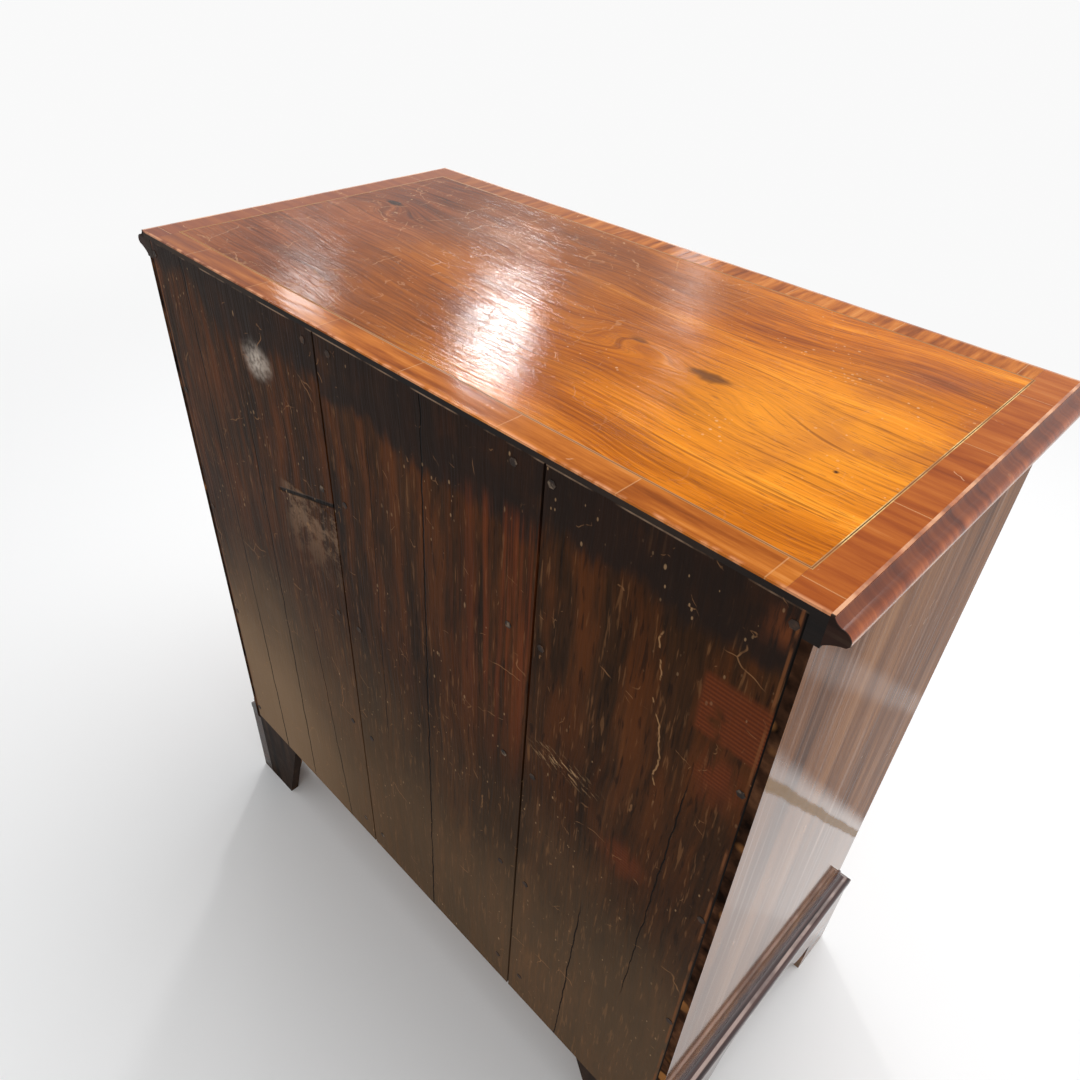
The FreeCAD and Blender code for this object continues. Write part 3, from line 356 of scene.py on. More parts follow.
# %% Wax, haze and scratches on the top
haze = field.noise(field.here, 7.0, 4.0).rise(0.45, 0.75)
worn = (scratches(field, 15.0, 0.010, 0.42, 2.0) + scratches(field, 38.0, 0.018, 0.40, 7.0) * 0.8).least(1.0)
worn = worn * (field.x.rise(-0.22, 0.04) * 0.75 + 0.25)
dots = specks(field, 150.0, 0.16, 0.46)
pin_hole = spot(field, (-0.289, 0.072, TOP), 0.0026)
walnut = field.paint(walnut, (haze * 0.10, 164, 112, 76), (worn * 0.27, 222, 170, 122), (dots * 0.4, 232, 194, 148),
                     (pin_hole, 34, 18, 12))
uneven = field.noise(field.here, 9.0, 3.0) * 0.55 + fibres * 0.34 + field.noise(field.here, 45.0, 2.0) * 0.12
field.wear(walnut, haze * 0.07 + fibres * 0.06 + worn * 0.1 + 0.06, uneven - pores * 0.08 - worn * 0.06,
           depth=0.0013, strength=0.5)
dress(field, "top_field")

# %% [markdown]
# ## Crossbanding and string
#
# Round the field runs a band of veneer, laid in short lengths that each take their own tone. At the two ends its
# fibres run across the band. The front band was cut across too, and the back one, which stands at the wall, along
# its length. The border between them is where the solids' real joint is. The string between band and field is three
# lines of light, dark and light wood. It is pale in places at one end, where the wax was cleaned off, and brown
# elsewhere. No two lengths of band lie quite level. A saw-tooth in the height map tilts each one, so that a
# highlight stops short at a joint.

# %% Cross-cut band
band = Finish("walnut_crossband", Specular_IOR_Level=0.05)
on_ends = abs(band.x).rise(field_high.x, field_high.x + 0.0004)
in_front = band.y.rise(0.0, -0.01) * (1 - on_ends)
PIECE, FIRST_JOINT = 0.097, 0.022
length_along = band.y * on_ends + band.x * (1 - on_ends) + FIRST_JOINT
piece_number = length_along / PIECE
piece_tone = band.noise(band.point(piece_number - piece_number % 1.0, on_ends * 7.0, 0.0), 3.7, 0.0)
joint = abs(length_along % PIECE - PIECE / 2).rise(PIECE / 2 - 0.0006, PIECE / 2 - 0.0002)
along_x = band.streaks("X", 120.0, 11.0, 4.0, 5.0)
along_y = band.streaks("Y", 150.0, 16.0, 9.0, 4.0)
cross = band.between(in_front, along_x, along_y)
ends_tone = cross * 0.7 + piece_tone * 0.36
banding = ends_tone.colours((0.36, 98, 44, 12), (0.5, 150, 78, 24), (0.62, 184, 106, 38),
                            (0.76, 214, 142, 74))
banding = band.paint(banding, (on_ends * 0.45, 152, 72, 36), (band.x.rise(0.0, 0.3) * 0.5, 118, 72, 58),
                     (joint * 0.45, 214, 158, 104))
edge_wear = band.y.rise(BACK - 0.0030, BACK - 0.0006)
banding = band.blend(edge_wear * band.noise(band.here, 70.0, 3.0).rise(0.4, 0.6) * 0.6, banding,
                     shade(226, 160, 116))
band_marks = scratches(band, 30.0, 0.016, 0.3, 4.0)
banding = band.blend(band_marks * 0.45, banding, shade(238, 190, 146))
tilt = length_along % PIECE / PIECE * (piece_tone - 0.5) * 9.0
band.wear(banding, ends_tone * 0.1 + 0.06,
          ends_tone * 0.5 + band.noise(band.here, 9.0, 3.0) * 0.4 - joint * 0.3 + tilt, depth=0.0009, strength=0.5)
dress(band, "top_crossbanding")

# %% Light and dark string
string = Finish("inlaid_string", Specular_IOR_Level=0.07)
middle_y = (field_low.y + field_high.y) / 2
out_x = abs(string.x) - field_high.x
out_y = abs(string.y - middle_y) - (field_high.y - middle_y)
across_string = out_x.most(out_y) / STRING
dark_line = abs(across_string - 0.5).rise(0.2, 0.12)
dirt = string.noise(string.here, 24.0, 4.0).rise(0.42, 0.6).most(string.x.rise(-0.325, -0.315))
light_wood = string.streaks("X", 300.0, 30.0, 1.0).colours((0.3, 196, 150, 88), (0.7, 232, 196, 132))
lines = string.blend(dark_line, light_wood, shade(62, 32, 18))
lines = string.blend(dirt * 0.72, lines, shade(140, 82, 42))
string.wear(lines, dirt * 0.2 + 0.25)
dress(string, "top_stringing")

# %% [markdown]
# ## Mouldings
#
# The moulding round the top is walnut too, with its fibres across the run, so that they go over the nose. Its arrises
# are lightened, partly as rubbed wear and partly as a painted highlight on the fillet and the nose. Its hollow is
# darkened, partly as dirt and partly as painted shade in the recess, and the sawn ends at the back are nearly black.
# Height alone tells which member a point is on, so the masks come from Z and from the solid's own box. The moulding
# round the base is darker, and its fibres follow the run. Its pale lines along the arrises are painted highlights,
# and its dark quirk is painted shade.

# %% Moulding round the top
def fibres_across(finish, fine, long, seed):
    """Fibres across the run of a moulding: along Y on the front and along X on the ends."""
    on_front = finish.y.rise(mould_low.y + 0.0142, mould_low.y + 0.0138)
    front = finish.vector("MULTIPLY", finish.here, (fine, long, long))
    ends = finish.vector("MULTIPLY", finish.here, (long, fine, long))
    chosen = finish.node("ShaderNodeMix", {"data_type": "VECTOR"}, {0: on_front, 4: ends, 5: front}, 1)
    return finish.noise(finish.vector("ADD", chosen, (seed, seed, seed)), 1.0, 4.0, 0.6)


rim = Finish("walnut_rim", Coat_Roughness=0.12, Specular_IOR_Level=0.1)
run_tone = fibres_across(rim, 120.0, 7.0, 2.0) * 0.7 + rim.noise(rim.here, 11.0, 3.0) * 0.3
nose = run_tone.colours((0.36, 100, 44, 20), (0.5, 144, 70, 34), (0.62, 172, 92, 48),
                        (0.75, 196, 120, 72))
mm_down = (TOP - rim.z) * 1000.0
# Painted shade and painted highlight: the hollow is darkened partly as dirt and partly as painted shade, and the
# fillet and the nose are lightened partly as rubbed wear and partly as painted highlight.
hollow = mm_down.rise(1.0, 2.0) * mm_down.rise(8.0, 5.2)
arris = mm_down.rise(0.9, 0.2).most(mm_down.rise(9.2, 10.4) * mm_down.rise(12.9, 12.0) * 0.6)
rubbed = rim.noise(rim.here, 38.0, 4.0).rise(0.38, 0.62)
nose = rim.paint(nose, (hollow * 0.55, 52, 24, 17), (arris * (rubbed * 0.7 + 0.2), 220, 164, 124))
sawn_end = past(rim.y, BACK, 0.0012, 0.0004)
nose = rim.blend(sawn_end * 0.95, nose, shade(16, 12, 10))
chips = specks(rim, 90.0, 0.2, 0.42)
nose = rim.blend(chips * 0.4, nose, shade(206, 160, 120))
rim.wear(nose, sawn_end * 0.3 + run_tone * 0.2 + hollow * 0.15 + 0.16,
         run_tone * 0.5 + rim.noise(rim.here, 30.0, 3.0) * 0.4, depth=0.0009, strength=0.5,
         Coat_Weight=(1 - sawn_end) * 0.5)
dress(rim, "top_moulding_front", "top_moulding_left", "top_moulding_right")

# %% Moulding round the base
plinth = Finish("walnut_base", Coat_Roughness=0.1, Specular_IOR_Level=0.1)
base_front = plinth.y.rise(base_high.y - 0.0002, base_high.y - 0.0006)
base_tone = plinth.between(base_front, plinth.streaks("Y", 150.0, 8.0, 2.0), plinth.streaks("X", 150.0, 8.0, 6.0))
base_colour = base_tone.colours((0.36, 38, 22, 22), (0.5, 60, 38, 37), (0.62, 80, 54, 51),
                                (0.76, 106, 78, 73))
up = (plinth.z - base_low.z) / (base_high.z - base_low.z)
# Painted highlights and painted shade: the pale lines along the arrises stand in for highlights, broken up by noise,
# and the dark band in the quirk stands in for shade.
ARRISES = (0.21, 0.38, 0.576, 0.62, 0.955)
bright = None
for level in ARRISES:
    line = abs(up - level).rise(0.022, 0.006)
    bright = line if bright is None else bright.most(line)
rub = plinth.noise(plinth.here, 30.0, 4.0).rise(0.36, 0.6)
quirk_painted_shade = abs(up - 0.6).rise(0.05, 0.0)
base_end = past(plinth.y, BACK, 0.0012, 0.0004)
base_colour = plinth.paint(base_colour, (quirk_painted_shade * 0.7, 22, 14, 14), (bright * (rub * 0.45 + 0.3), 206, 180, 170),
                           (base_end * 0.9, 18, 13, 11))
plinth.wear(base_colour, base_tone * 0.2 + 0.16, base_tone * 0.5 + plinth.noise(plinth.here, 26.0, 3.0) * 0.4,
            depth=0.0009, strength=0.5, Coat_Weight=(1 - base_end) * 0.7)
dress(plinth, "base_moulding_front", "base_moulding_left", "base_moulding_right")

# %% [markdown]
# ## Case sides
#
# The sides carry veneer with upright fibres and the hardest shine on the chest. All of that shine is in the coat, so
# one mask can say where it is strong. On the left side it was rubbed away above a slanting line, and a faint shine is
# left along a second one. Along the slanting line a brown streak is painted into the colour as a painted reflection
# of a dark line in the room. The right side shines evenly. The front edge is faced with walnut. The back edge is
# bare, dark pine with pale breaks where a back board was once levered off, and the inside is plain pine.

# %% Side veneer and its bare back edge
flank = Finish("walnut_side", Coat_Roughness=0.06, Specular_IOR_Level=0.0)
grain_z = flank.streaks("Z", 30.0, 2.2, 4.0, 5.0)
fine_z = flank.streaks("Z", 420.0, 12.0, 2.0, 3.0)
broad_z = flank.streaks("Z", 11.0, 1.4, 6.0, 3.0)
skin = (grain_z * 0.5 + broad_z * 0.25 + fine_z * 0.25).colours(
    (0.38, 80, 44, 18), (0.48, 116, 70, 34), (0.56, 142, 92, 50), (0.68, 166, 116, 72))
skin = flank.blend(scratches(flank, 19.0, 0.014, 0.3, 5.0) * 0.4, skin, shade(220, 190, 160))
outside = past(abs(flank.x), CASE_OUT, 0.0012, 0.0004)
pine = flank.streaks("Z", 42.0, 2.4, 9.0, 4.0).colours((0.3, 84, 56, 36), (0.7, 138, 98, 64))
back_edge = past(flank.y, BACK)
edge_tone = flank.noise(flank.here, 60.0, 4.0)
edge_wood = edge_tone.colours((0.35, 20, 13, 10), (0.55, 56, 36, 25), (0.75, 96, 64, 44))
torn = flank.cells(flank.here, 34.0).rise(0.34, 0.22) * flank.noise(flank.here, 7.0, 2.0).rise(0.50, 0.58)
edge_wood = flank.blend(torn * 0.8, edge_wood, shade(158, 106, 60))
skin = flank.blend(1 - outside, skin, pine)
skin = flank.blend(back_edge, skin, edge_wood)
front_edge = flank.y.rise(side_low.y + 0.0012, side_low.y + 0.0004)
facing_tone = flank.streaks("X", 140.0, 16.0, 5.0) * 0.6 + flank.noise(flank.here, 16.0, 3.0) * 0.4
skin = flank.blend(front_edge, skin, facing_tone.colours((0.36, 76, 38, 22), (0.5, 124, 70, 41),
                                                         (0.66, 162, 102, 62)))
polish = outside.most(front_edge) * (1 - back_edge)
waver = (flank.noise(flank.here, 18.0, 3.0) - 0.5) * 0.009
LOWER_SLOPE, LOWER_LEVEL = 1.21, 0.422
UPPER_SLOPE, UPPER_LEVEL = 0.891, 0.583
rub_line = flank.z - flank.y * LOWER_SLOPE - LOWER_LEVEL + waver
other_side = flank.x.rise(-0.001, 0.001)
mirror = rub_line.rise(0.036, 0.010).most(other_side)
painted_reflection_streak = abs(rub_line + 0.001).rise(0.009, 0.004) * (1 - other_side)
upper_rub = abs(flank.z - flank.y * UPPER_SLOPE - UPPER_LEVEL + waver).rise(0.020, 0.004) * (1 - other_side)
hairs = flank.streaks("Z", 190.0, 3.0, 7.0, 3.0).rise(0.54, 0.66)
# Painted reflection: a brown streak along the slanting line stands in for a dark line of the room mirrored in the
# polished side.
skin = flank.blend(painted_reflection_streak * polish * 0.85, skin, shade(132, 98, 50))
shine = (mirror * 0.62 + upper_rub * 0.16 + hairs * 0.14 + grain_z * 0.08 + 0.20) * (1 - painted_reflection_streak * 0.6)
flank.wear(skin, (1 - polish) * 0.55 + fine_z * 0.08 + 0.1,
           grain_z * 0.22 + fine_z * 0.12 + flank.noise(flank.here, 14.0, 2.0) * 0.3, depth=0.0007, strength=0.4,
           Coat_Weight=polish * shine)
dress(flank, "side_left", "side_right")

# %% [markdown]
# ## Back boards
#
# Three boards of pine close the back. They were never planed smooth, and they have been stained, splashed, rubbed
# and scratched against walls ever since. Each board gets its own finish, because each has its own splits. One recipe
# builds all three: upright fibres in near-black and rust brown, an almost black stain that ran down from the top,
# a pale bloom of dust towards the floor, then the splits and marks that only one board has.

# %% One recipe for stained pine
STAIN_EDGES = {"back_board_left": 0.042, "back_board_middle": 0.052, "back_board_right": 0.030}


def stained_board(name, seed, warmth):
    """Colour, roughness and height of a rough, stained board, before its own marks."""
    board = Finish(f"stained_{name}", Specular_IOR_Level=0.03)
    bent = board.vector("ADD", board.here, board.point((board.noise(board.here, 5.0, 3.0) - 0.5) * 0.03, 0.0, 0.0))
    broad = board.streaks("Z", 15.0, 4.6, seed, 5.0, bent)
    middle = board.streaks("Z", 74.0, 6.0, seed + 5, 4.0, bent)
    fibre = board.streaks("Z", 330.0, 14.0, seed + 3, 4.0, bent)
    tone = broad * 0.44 + middle * 0.26 + fibre * 0.30
    colour = tone.colours((0.37, 26, 15, 8), (0.47, 43, 26, 13), (0.56, 60, 36, 19),
                          (0.68, 94, 59, 33))
    rust = board.streaks("Z", 48.0, 7.0, seed + 8, 6.0, bent).rise(0.42, 0.66) * board.z.rise(0.34, 0.68)
    colour = board.blend(rust * warmth, colour, shade(104, 54, 20))
    ticks = board.streaks("Z", 300.0, 34.0, seed + 12, 2.0)
    colour = board.paint(colour, (ticks.rise(0.60, 0.72) * 0.30, 140, 96, 60),
                         (ticks.rise(0.40, 0.30) * 0.55, 16, 9, 6))
    ragged = (board.noise(board.here, 16.0, 5.0) - 0.5) * 0.06 + (board.noise(board.here, 4.5, 1.0) - 0.5) * 0.08
    level = board.z + ragged + (middle - 0.5) * 0.05
    stain = level.rise(BOARDS_TOP - STAIN_EDGES[name] - 0.012, BOARDS_TOP - STAIN_EDGES[name] + 0.006)
    patchy = board.noise(board.here, 30.0, 5.0).rise(0.30, 0.56) * 0.22 + 0.70
    colour = board.blend(stain * patchy, colour, shade(33, 24, 20))
    bloom = (board.z + (board.noise(board.here, 6.0, 3.0) - 0.5) * 0.24).rise(0.50, 0.20)
    colour = board.blend(bloom * (board.x.rise(0.02, 0.30) * 0.68 + 0.36), colour, shade(124, 100, 76))
    rough = fibre * 0.25 + bloom * 0.15 + 0.34
    height = fibre * 0.5 + broad * 0.4 + board.noise(board.here, 90.0, 3.0) * 0.15
    return board, colour, rough, height


def finish_board(name, board, colour, rough, height, splits, seed):
    """Adds splits, pale knocks and dust to a board, and puts it on."""
    for mark in splits:
        colour = board.blend(mark * 0.95, colour, shade(8, 5, 4))
        height = height - mark * 0.9
    pale = scratches(board, 13.0, 0.009, 0.34, seed) + scratches(board, 31.0, 0.014, 0.34, seed + 5) * 0.8
    colour = board.blend(pale.least(1.0) * 0.42, colour, shade(166, 120, 80))
    dust = specks(board, 170.0, 0.15, 0.46, 0.5).most(specks(board, 70.0, 0.07, 0.44, 0.3))
    colour = board.blend(dust * 0.5, colour, shade(178, 142, 104))
    from_case = board_high.x - abs(board.x)
    arris = abs(from_case - 0.0030).rise(0.0014, 0.0004) * board.noise(board.here, 30.0, 4.0).rise(0.40, 0.58)
    colour = board.paint(colour, (arris * 0.7, 118, 72, 42), (from_case.rise(0.0016, 0.0008), 6, 4, 3))
    worn_edge = board.z.rise(BOARDS_TOP - 0.0014, BOARDS_TOP - 0.0008)
    colour = board.blend(worn_edge * board.noise(board.here, 26.0, 4.0).rise(0.44, 0.6) * 0.8, colour,
                         shade(146, 120, 98))
    board.wear(colour, rough, height, depth=0.0016, strength=0.7)
    dress(board, name)


print("stain reaches down", {name: round(reach * 1000) for name, reach in STAIN_EDGES.items()}, "mm")

# %% Right-hand board: a white smudge, a let-in patch and three splits
board, colour, rough, height = stained_board("back_board_right", 2.0, 0.5)
smudge = spot(board, (0.174, BACK, 0.715), 0.030, (1.0, 1.0, 1.25))
brushed = board.noise(board.here, 210.0, 3.0).rise(0.30, 0.62)
colour = board.blend(smudge * (brushed * 0.6 + 0.3), colour, shade(196, 182, 168))
below = board.z.rise(0.604, 0.600) * board.z.rise(0.5, 0.59) * board.x.rise(0.172, 0.150)
colour = board.blend(below * board.noise(board.here, 52.0, 6.0, 0.7).rise(0.42, 0.58) * 0.75, colour,
                     shade(122, 95, 73))
ledge = abs(board.z - 0.602 - (board.x - 0.12) * -0.30).rise(0.0032, 0.001) * board.x.rise(0.176, 0.166)
height = height + below * 0.5
finish_board("back_board_right", board, colour, rough, height,
             [ledge, split(board, (0.283, 0.77), (0.268, 0.12), 0.0011),
              split(board, (0.207, 0.66), (0.205, 0.16), 0.0010, (0.0, 0.66)),
              split(board, (0.150, 0.42), (0.128, 0.13), 0.0009, (0.0, 0.42))], 3.0)

# %% Middle board: warm streaks on one side of a long split
board, colour, rough, height = stained_board("back_board_middle", 11.0, 0.45)
warm = board.x.rise(-0.05, -0.13) * board.streaks("Z", 150.0, 3.0, 6.0, 4.0).rise(0.42, 0.62)
fading = board.z.rise(0.42, 0.60) * board.z.rise(0.735, 0.715)
colour = board.blend(warm * fading * 0.55, colour, shade(116, 54, 24))
finish_board("back_board_middle", board, colour, rough, height,
             [split(board, (-0.045, 0.77), (-0.030, 0.12), 0.0011),
              split(board, (0.022, 0.70), (0.030, 0.36), 0.0006, (0.36, 0.70))], 8.0)

# %% Left-hand board: a bare patch with saw marks, and a scratch that wanders
board, colour, rough, height = stained_board("back_board_left", 23.0, 0.45)
saw = (board.z * 1900.0).sine() * 0.5 + 0.5
bare_left = board.x.rise(-0.292, -0.297) * board.z.rise(0.648, 0.655) * board.z.rise(0.703, 0.694)
bare = bare_left * board.noise(board.here, 40.0, 4.0).rise(0.30, 0.44)
torn = board.streaks("Z", 190.0, 20.0, 4.0).rise(0.38, 0.56)
bare = bare.most(spot(board, (-0.316, BACK, 0.622), 0.026, (1.0, 1.0, 0.7)) * torn)
bare = bare.most(spot(board, (-0.262, BACK, 0.472), 0.032) * torn * 0.7)
colour = board.paint(colour, (bare * 0.85, 108, 52, 25), (bare * saw * 0.6, 60, 27, 14))
line = abs(board.x + 0.262 + (board.noise(board.point(0.0, 0.0, board.z), 22.0, 4.0) - 0.5) * 0.03
           - (board.z - 0.70) * 0.12)
wander = line.rise(0.0009, 0.0003) * board.z.rise(0.55, 0.57) * board.z.rise(0.715, 0.70)
colour = board.blend(wander * board.noise(board.here, 110.0, 3.0).rise(0.42, 0.52) * 0.5, colour,
                     shade(186, 142, 98))
scuff = spot(board, (-0.196, BACK, 0.520), 0.026, (0.55, 1.0, 1.6))
leaning = board.point(board.x + board.z * 1.6, 0.0, board.z * 5.0 - board.x * 2.6)
streaky = board.noise(leaning, 52.0, 5.0, 0.65).rise(0.52, 0.64)
colour = board.blend(scuff * streaky * 0.9, colour, shade(190, 152, 110))
corner = spot(board, (-0.331, BACK, 0.756), 0.020) * torn
colour = board.blend(corner * 0.8, colour, shade(104, 56, 30))
finish_board("back_board_left", board, colour, rough, height,
             [split(board, (-0.246, 0.70), (-0.222, 0.10), 0.0008, (0.0, 0.36)),
              split(board, (-0.300, 0.60), (-0.286, 0.30), 0.0006, (0.30, 0.60))], 14.0)

# %% [markdown]
# ## Nails
#
# The nails are wrought iron, driven almost flush and rusted dark. A few heads have been knocked bright.

# %% Wrought iron
iron = Finish("wrought_iron", Metallic=0.35, Specular_IOR_Level=0.2)
crust = iron.noise(iron.here, 160.0, 4.0)
knocked = iron.noise(iron.here, 5.0, 1.0).rise(0.52, 0.58)
metal = crust.colours((0.35, 30, 22, 18), (0.55, 58, 44, 36), (0.75, 96, 66, 46))
metal = iron.blend(knocked * crust.rise(0.46, 0.62) * 0.5, metal, shade(150, 132, 112))
iron.wear(metal, crust * 0.4 + 0.45, crust, depth=0.0004, strength=0.6)
dress(iron, "back_nails")

# %% [markdown]
# ## Bracket feet
#
# Each foot node holds two brackets. The ones that show from the front and the ends are polished walnut. Their fibres
# follow the run and turn at the mitre, where a point is as far from the front as from the end. The rough one behind
# is a scrap of the back boards' pine and nearly black, like the sawn ends. A point belongs to that one when it lies
# near the back plane and inside the end bracket.

# %% Polished and rough brackets
foot = Finish("walnut_foot", Coat_Roughness=0.14, Specular_IOR_Level=0.06)
end_inner = CASE_OUT - (side_high.x - board_high.x)
behind_boards = past(foot.y, board_low.y)
rough_bracket = behind_boards * abs(foot.x).rise(end_inner + 0.0004, end_inner - 0.0002)
foot_low, foot_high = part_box("foot_front_right")
from_front, from_side = foot.y - foot_low.y, foot_high.x - abs(foot.x)
on_front_bracket = (from_side - from_front).rise(-0.0002, 0.0002)
foot_tone = foot.between(on_front_bracket, foot.streaks("Y", 70.0, 9.0, 7.0, 5.0),
                         foot.streaks("X", 70.0, 9.0, 3.0, 5.0))
foot_colour = foot_tone.colours((0.38, 48, 26, 18), (0.5, 92, 54, 36), (0.62, 126, 80, 54),
                                (0.76, 150, 102, 72))
scuffed = foot.z.rise(0.035, 0.0) * foot.noise(foot.here, 36.0, 4.0).rise(0.36, 0.6)
foot_colour = foot.blend(scuffed * 0.6, foot_colour, shade(146, 118, 92))
foot_pine = foot.streaks("Z", 60.0, 6.0, 4.0).colours((0.35, 18, 12, 9), (0.6, 48, 33, 24),
                                                      (0.8, 80, 58, 42))
foot_colour = foot.blend(rough_bracket, foot_colour, foot_pine)
foot_end = past(foot.y, BACK).most(behind_boards)
foot_colour = foot.blend(foot_end * (1 - rough_bracket) * 0.8, foot_colour, shade(22, 15, 12))
foot.wear(foot_colour, rough_bracket * 0.4 + foot_tone * 0.2 + scuffed * 0.2 + 0.14,
          foot_tone * 0.5 + foot.noise(foot.here, 30.0, 3.0) * 0.4, depth=0.001, strength=0.5,
          Coat_Weight=(1 - foot_end) * 0.6)
dress(foot, "foot_front_left", "foot_front_right", "foot_rear_left", "foot_rear_right")

# %% [markdown]
# ## Pine inside the case
#
# Bottom, dust boards, stops and glue blocks are dry pine that no one was meant to see: pale, with brown growth rings
# and patches of dirt. The same recipe, much darker, serves the ground under the veneer of the top. There it is nearly
# black, partly as a dark edge and partly as painted shade in the band below the top's back edge.

# %% Dry pine
def dry_pine(name, along, seed, light, dark):
    """Unpolished softwood with rings along one axis."""
    pine = Finish(name, Specular_IOR_Level=0.15)
    push = pine.node("ShaderNodeTexNoise", inputs={"Vector": pine.here, "Scale": 3.0}, output="Color")
    flow = pine.vector("ADD", pine.here, push)
    rings = pine.streaks(along, 55.0, 1.3, seed, 3.0, pine.vector("MULTIPLY_ADD", flow, (0.02, 0.02, 0.02),
                                                                 pine.here))
    fibre = pine.streaks(along, 420.0, 10.0, seed + 2, 3.0)
    tone = rings * 0.7 + fibre * 0.3
    middle = tuple((a + b) / 2 for a, b in zip(light, dark))
    colour = tone.colours((0.34, *dark), (0.5, *middle), (0.66, *light))
    grime = pine.noise(pine.here, 8.0, 4.0).rise(0.45, 0.7)
    colour = pine.blend(grime * 0.4, colour, shade(74, 56, 42))
    pine.wear(colour, fibre * 0.2 + 0.6, fibre * 0.6 + rings * 0.4, depth=0.0008, strength=0.5)
    return pine


case_pine = dry_pine("case_pine", "X", 3.0, (170, 132, 92), (112, 78, 50))
dress(case_pine, "bottom_board", "base_rail", "dust_boards", "drawer_stops")
block_pine = dry_pine("block_pine", "Z", 6.0, (150, 114, 78), (96, 66, 42))
dress(block_pine, "foot_glue_blocks")
# Painted shade: the near-black colour is partly the dark edge of the ground and partly painted shade for the band
# below the top's back edge.
top_ground_and_shade = dry_pine("top_ground", "X", 9.0, (30, 20, 15), (14, 9, 7))
dress(top_ground_and_shade, "top_board")

# %% [markdown]
# ## Rails, drawer fronts and their beads
#
# The front is the best face of such a chest. Rails and dividers are faced with walnut whose fibres stand upright,
# across their run. Each drawer front has a sheet of veneer opened like a book, so that its halves mirror each other.
# A narrow feather band and a plain crossband frame it, and both are worked out from the front's own box. The cock
# bead is a darker strip.

# %% Rails
rail = Finish("walnut_rail", Coat_Weight=0.5, Coat_Roughness=0.18)
rail_tone = rail.streaks("Z", 150.0, 14.0, 5.0) * 0.7 + rail.noise(rail.here, 9.0, 3.0) * 0.3
rail_colour = rail_tone.colours((0.36, 78, 38, 18), (0.5, 122, 64, 30), (0.66, 158, 94, 50))
rail_back = rail.y.rise(side_low.y + 0.0015, side_low.y + 0.003)
rail_pine = rail.streaks("X", 60.0, 3.0, 2.0).colours((0.3, 104, 72, 46), (0.7, 158, 118, 78))
rail.wear(rail.blend(rail_back, rail_colour, rail_pine), rail_back * 0.35 + rail_tone * 0.2 + 0.2, rail_tone,
          depth=0.0006, strength=0.4)
dress(rail, "top_rail", "drawer_dividers")

# %% Drawer fronts with feather and cross bands
DRAWERS = (1, 2, 3, 4)
BAND, FEATHER = 0.017, 0.0085
HANDLE_OUT = 0.188


def drawer_front(number):
    """Veneer for one front: a figured sheet inside a feather band inside a crossband."""
    low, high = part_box(f"drawer_{number}_front")
    front = Finish(f"walnut_drawer_{number}", Coat_Weight=0.55, Coat_Roughness=0.16)
    middle_z, half_z = (low.z + high.z) / 2, (high.z - low.z) / 2
    from_end = high.x - abs(front.x)
    from_rail = half_z - abs(front.z - middle_z)
    from_edge = from_end.least(from_rail)
    beside_end = (from_rail - from_end).rise(-0.0002, 0.0002)
    swirl = front.noise(front.here, 4.5, 3.0) - 0.5
    bent = front.point(abs(front.x) + swirl * 0.05, front.y, front.z + swirl * 0.16)
    figure = front.streaks("X", 30.0, 3.4, number * 0.37, 5.0, bent)
    fibre = front.streaks("X", 380.0, 14.0, 2.0, 3.0)
    tone = figure * 0.7 + fibre * 0.3
    sheet = tone.colours((0.34, 86, 40, 14), (0.46, 142, 76, 26), (0.57, 182, 106, 40),
                         (0.70, 206, 136, 64))
    lines = front.streaks("X", 230.0, 8.0, number * 1.9, 4.0, bent).rise(0.53, 0.68)
    sheet = front.blend(lines * 0.5, sheet, shade(84, 40, 12))
    slant = (from_end + from_rail) * 420.0
    feather = (slant.sine() * 0.5 + 0.5).colours((0.2, 106, 60, 33), (0.8, 174, 116, 68))
    upright = front.streaks("Z", 170.0, 14.0, 4.0)
    level = front.streaks("X", 170.0, 14.0, 7.0)
    cross = (upright * (1 - beside_end) + level * beside_end).colours(
        (0.36, 88, 42, 18), (0.5, 134, 72, 32), (0.68, 172, 104, 54))
    in_feather = from_edge.rise(BAND - 0.0001, BAND + 0.0001)
    in_sheet = from_edge.rise(BAND + FEATHER - 0.0001, BAND + FEATHER + 0.0001)
    colour = front.blend(in_feather, cross, feather)
    colour = front.blend(in_sheet, colour, sheet)
    joints = abs(from_edge - BAND).least(abs(from_edge - BAND - FEATHER)).rise(0.0005, 0.0002)
    colour = front.blend(joints * 0.6, colour, shade(50, 26, 14))
    hands = spot(front, (HANDLE_OUT, low.y, middle_z), 0.07).most(spot(front, (-HANDLE_OUT, low.y, middle_z), 0.07))
    colour = front.paint(colour, (hands * 0.35, 70, 38, 20),
                         (scratches(front, 24.0, 0.018, 0.26, number) * 0.4, 222, 180, 138))
    behind = front.y.rise(low.y + 0.002, low.y + 0.004)
    oak = front.streaks("X", 120.0, 5.0, 8.0).colours((0.3, 120, 84, 52), (0.7, 176, 134, 88))
    colour = front.blend(behind, colour, oak)
    front.wear(colour, behind * 0.35 + fibre * 0.12 + hands * 0.08 + 0.18,
               figure * 0.4 + front.noise(front.here, 12.0, 2.0) * 0.4 - joints * 0.3, depth=0.0008, strength=0.4)
    dress(front, f"drawer_{number}_front")


for number in DRAWERS:
    drawer_front(number)

# %% Cock beads
bead = Finish("walnut_bead", Coat_Weight=0.6, Coat_Roughness=0.12)
bead_tone = bead.streaks("X", 90.0, 8.0, 3.0) * 0.5 + bead.streaks("Z", 90.0, 8.0, 5.0) * 0.5
bead_colour = bead_tone.colours((0.36, 52, 26, 15), (0.5, 92, 50, 29), (0.68, 138, 86, 52))
bead.wear(bead_colour, bead_tone * 0.2 + 0.16, bead_tone, depth=0.0005, strength=0.4)
dress(bead, *[f"drawer_{number}_cock_bead" for number in DRAWERS])

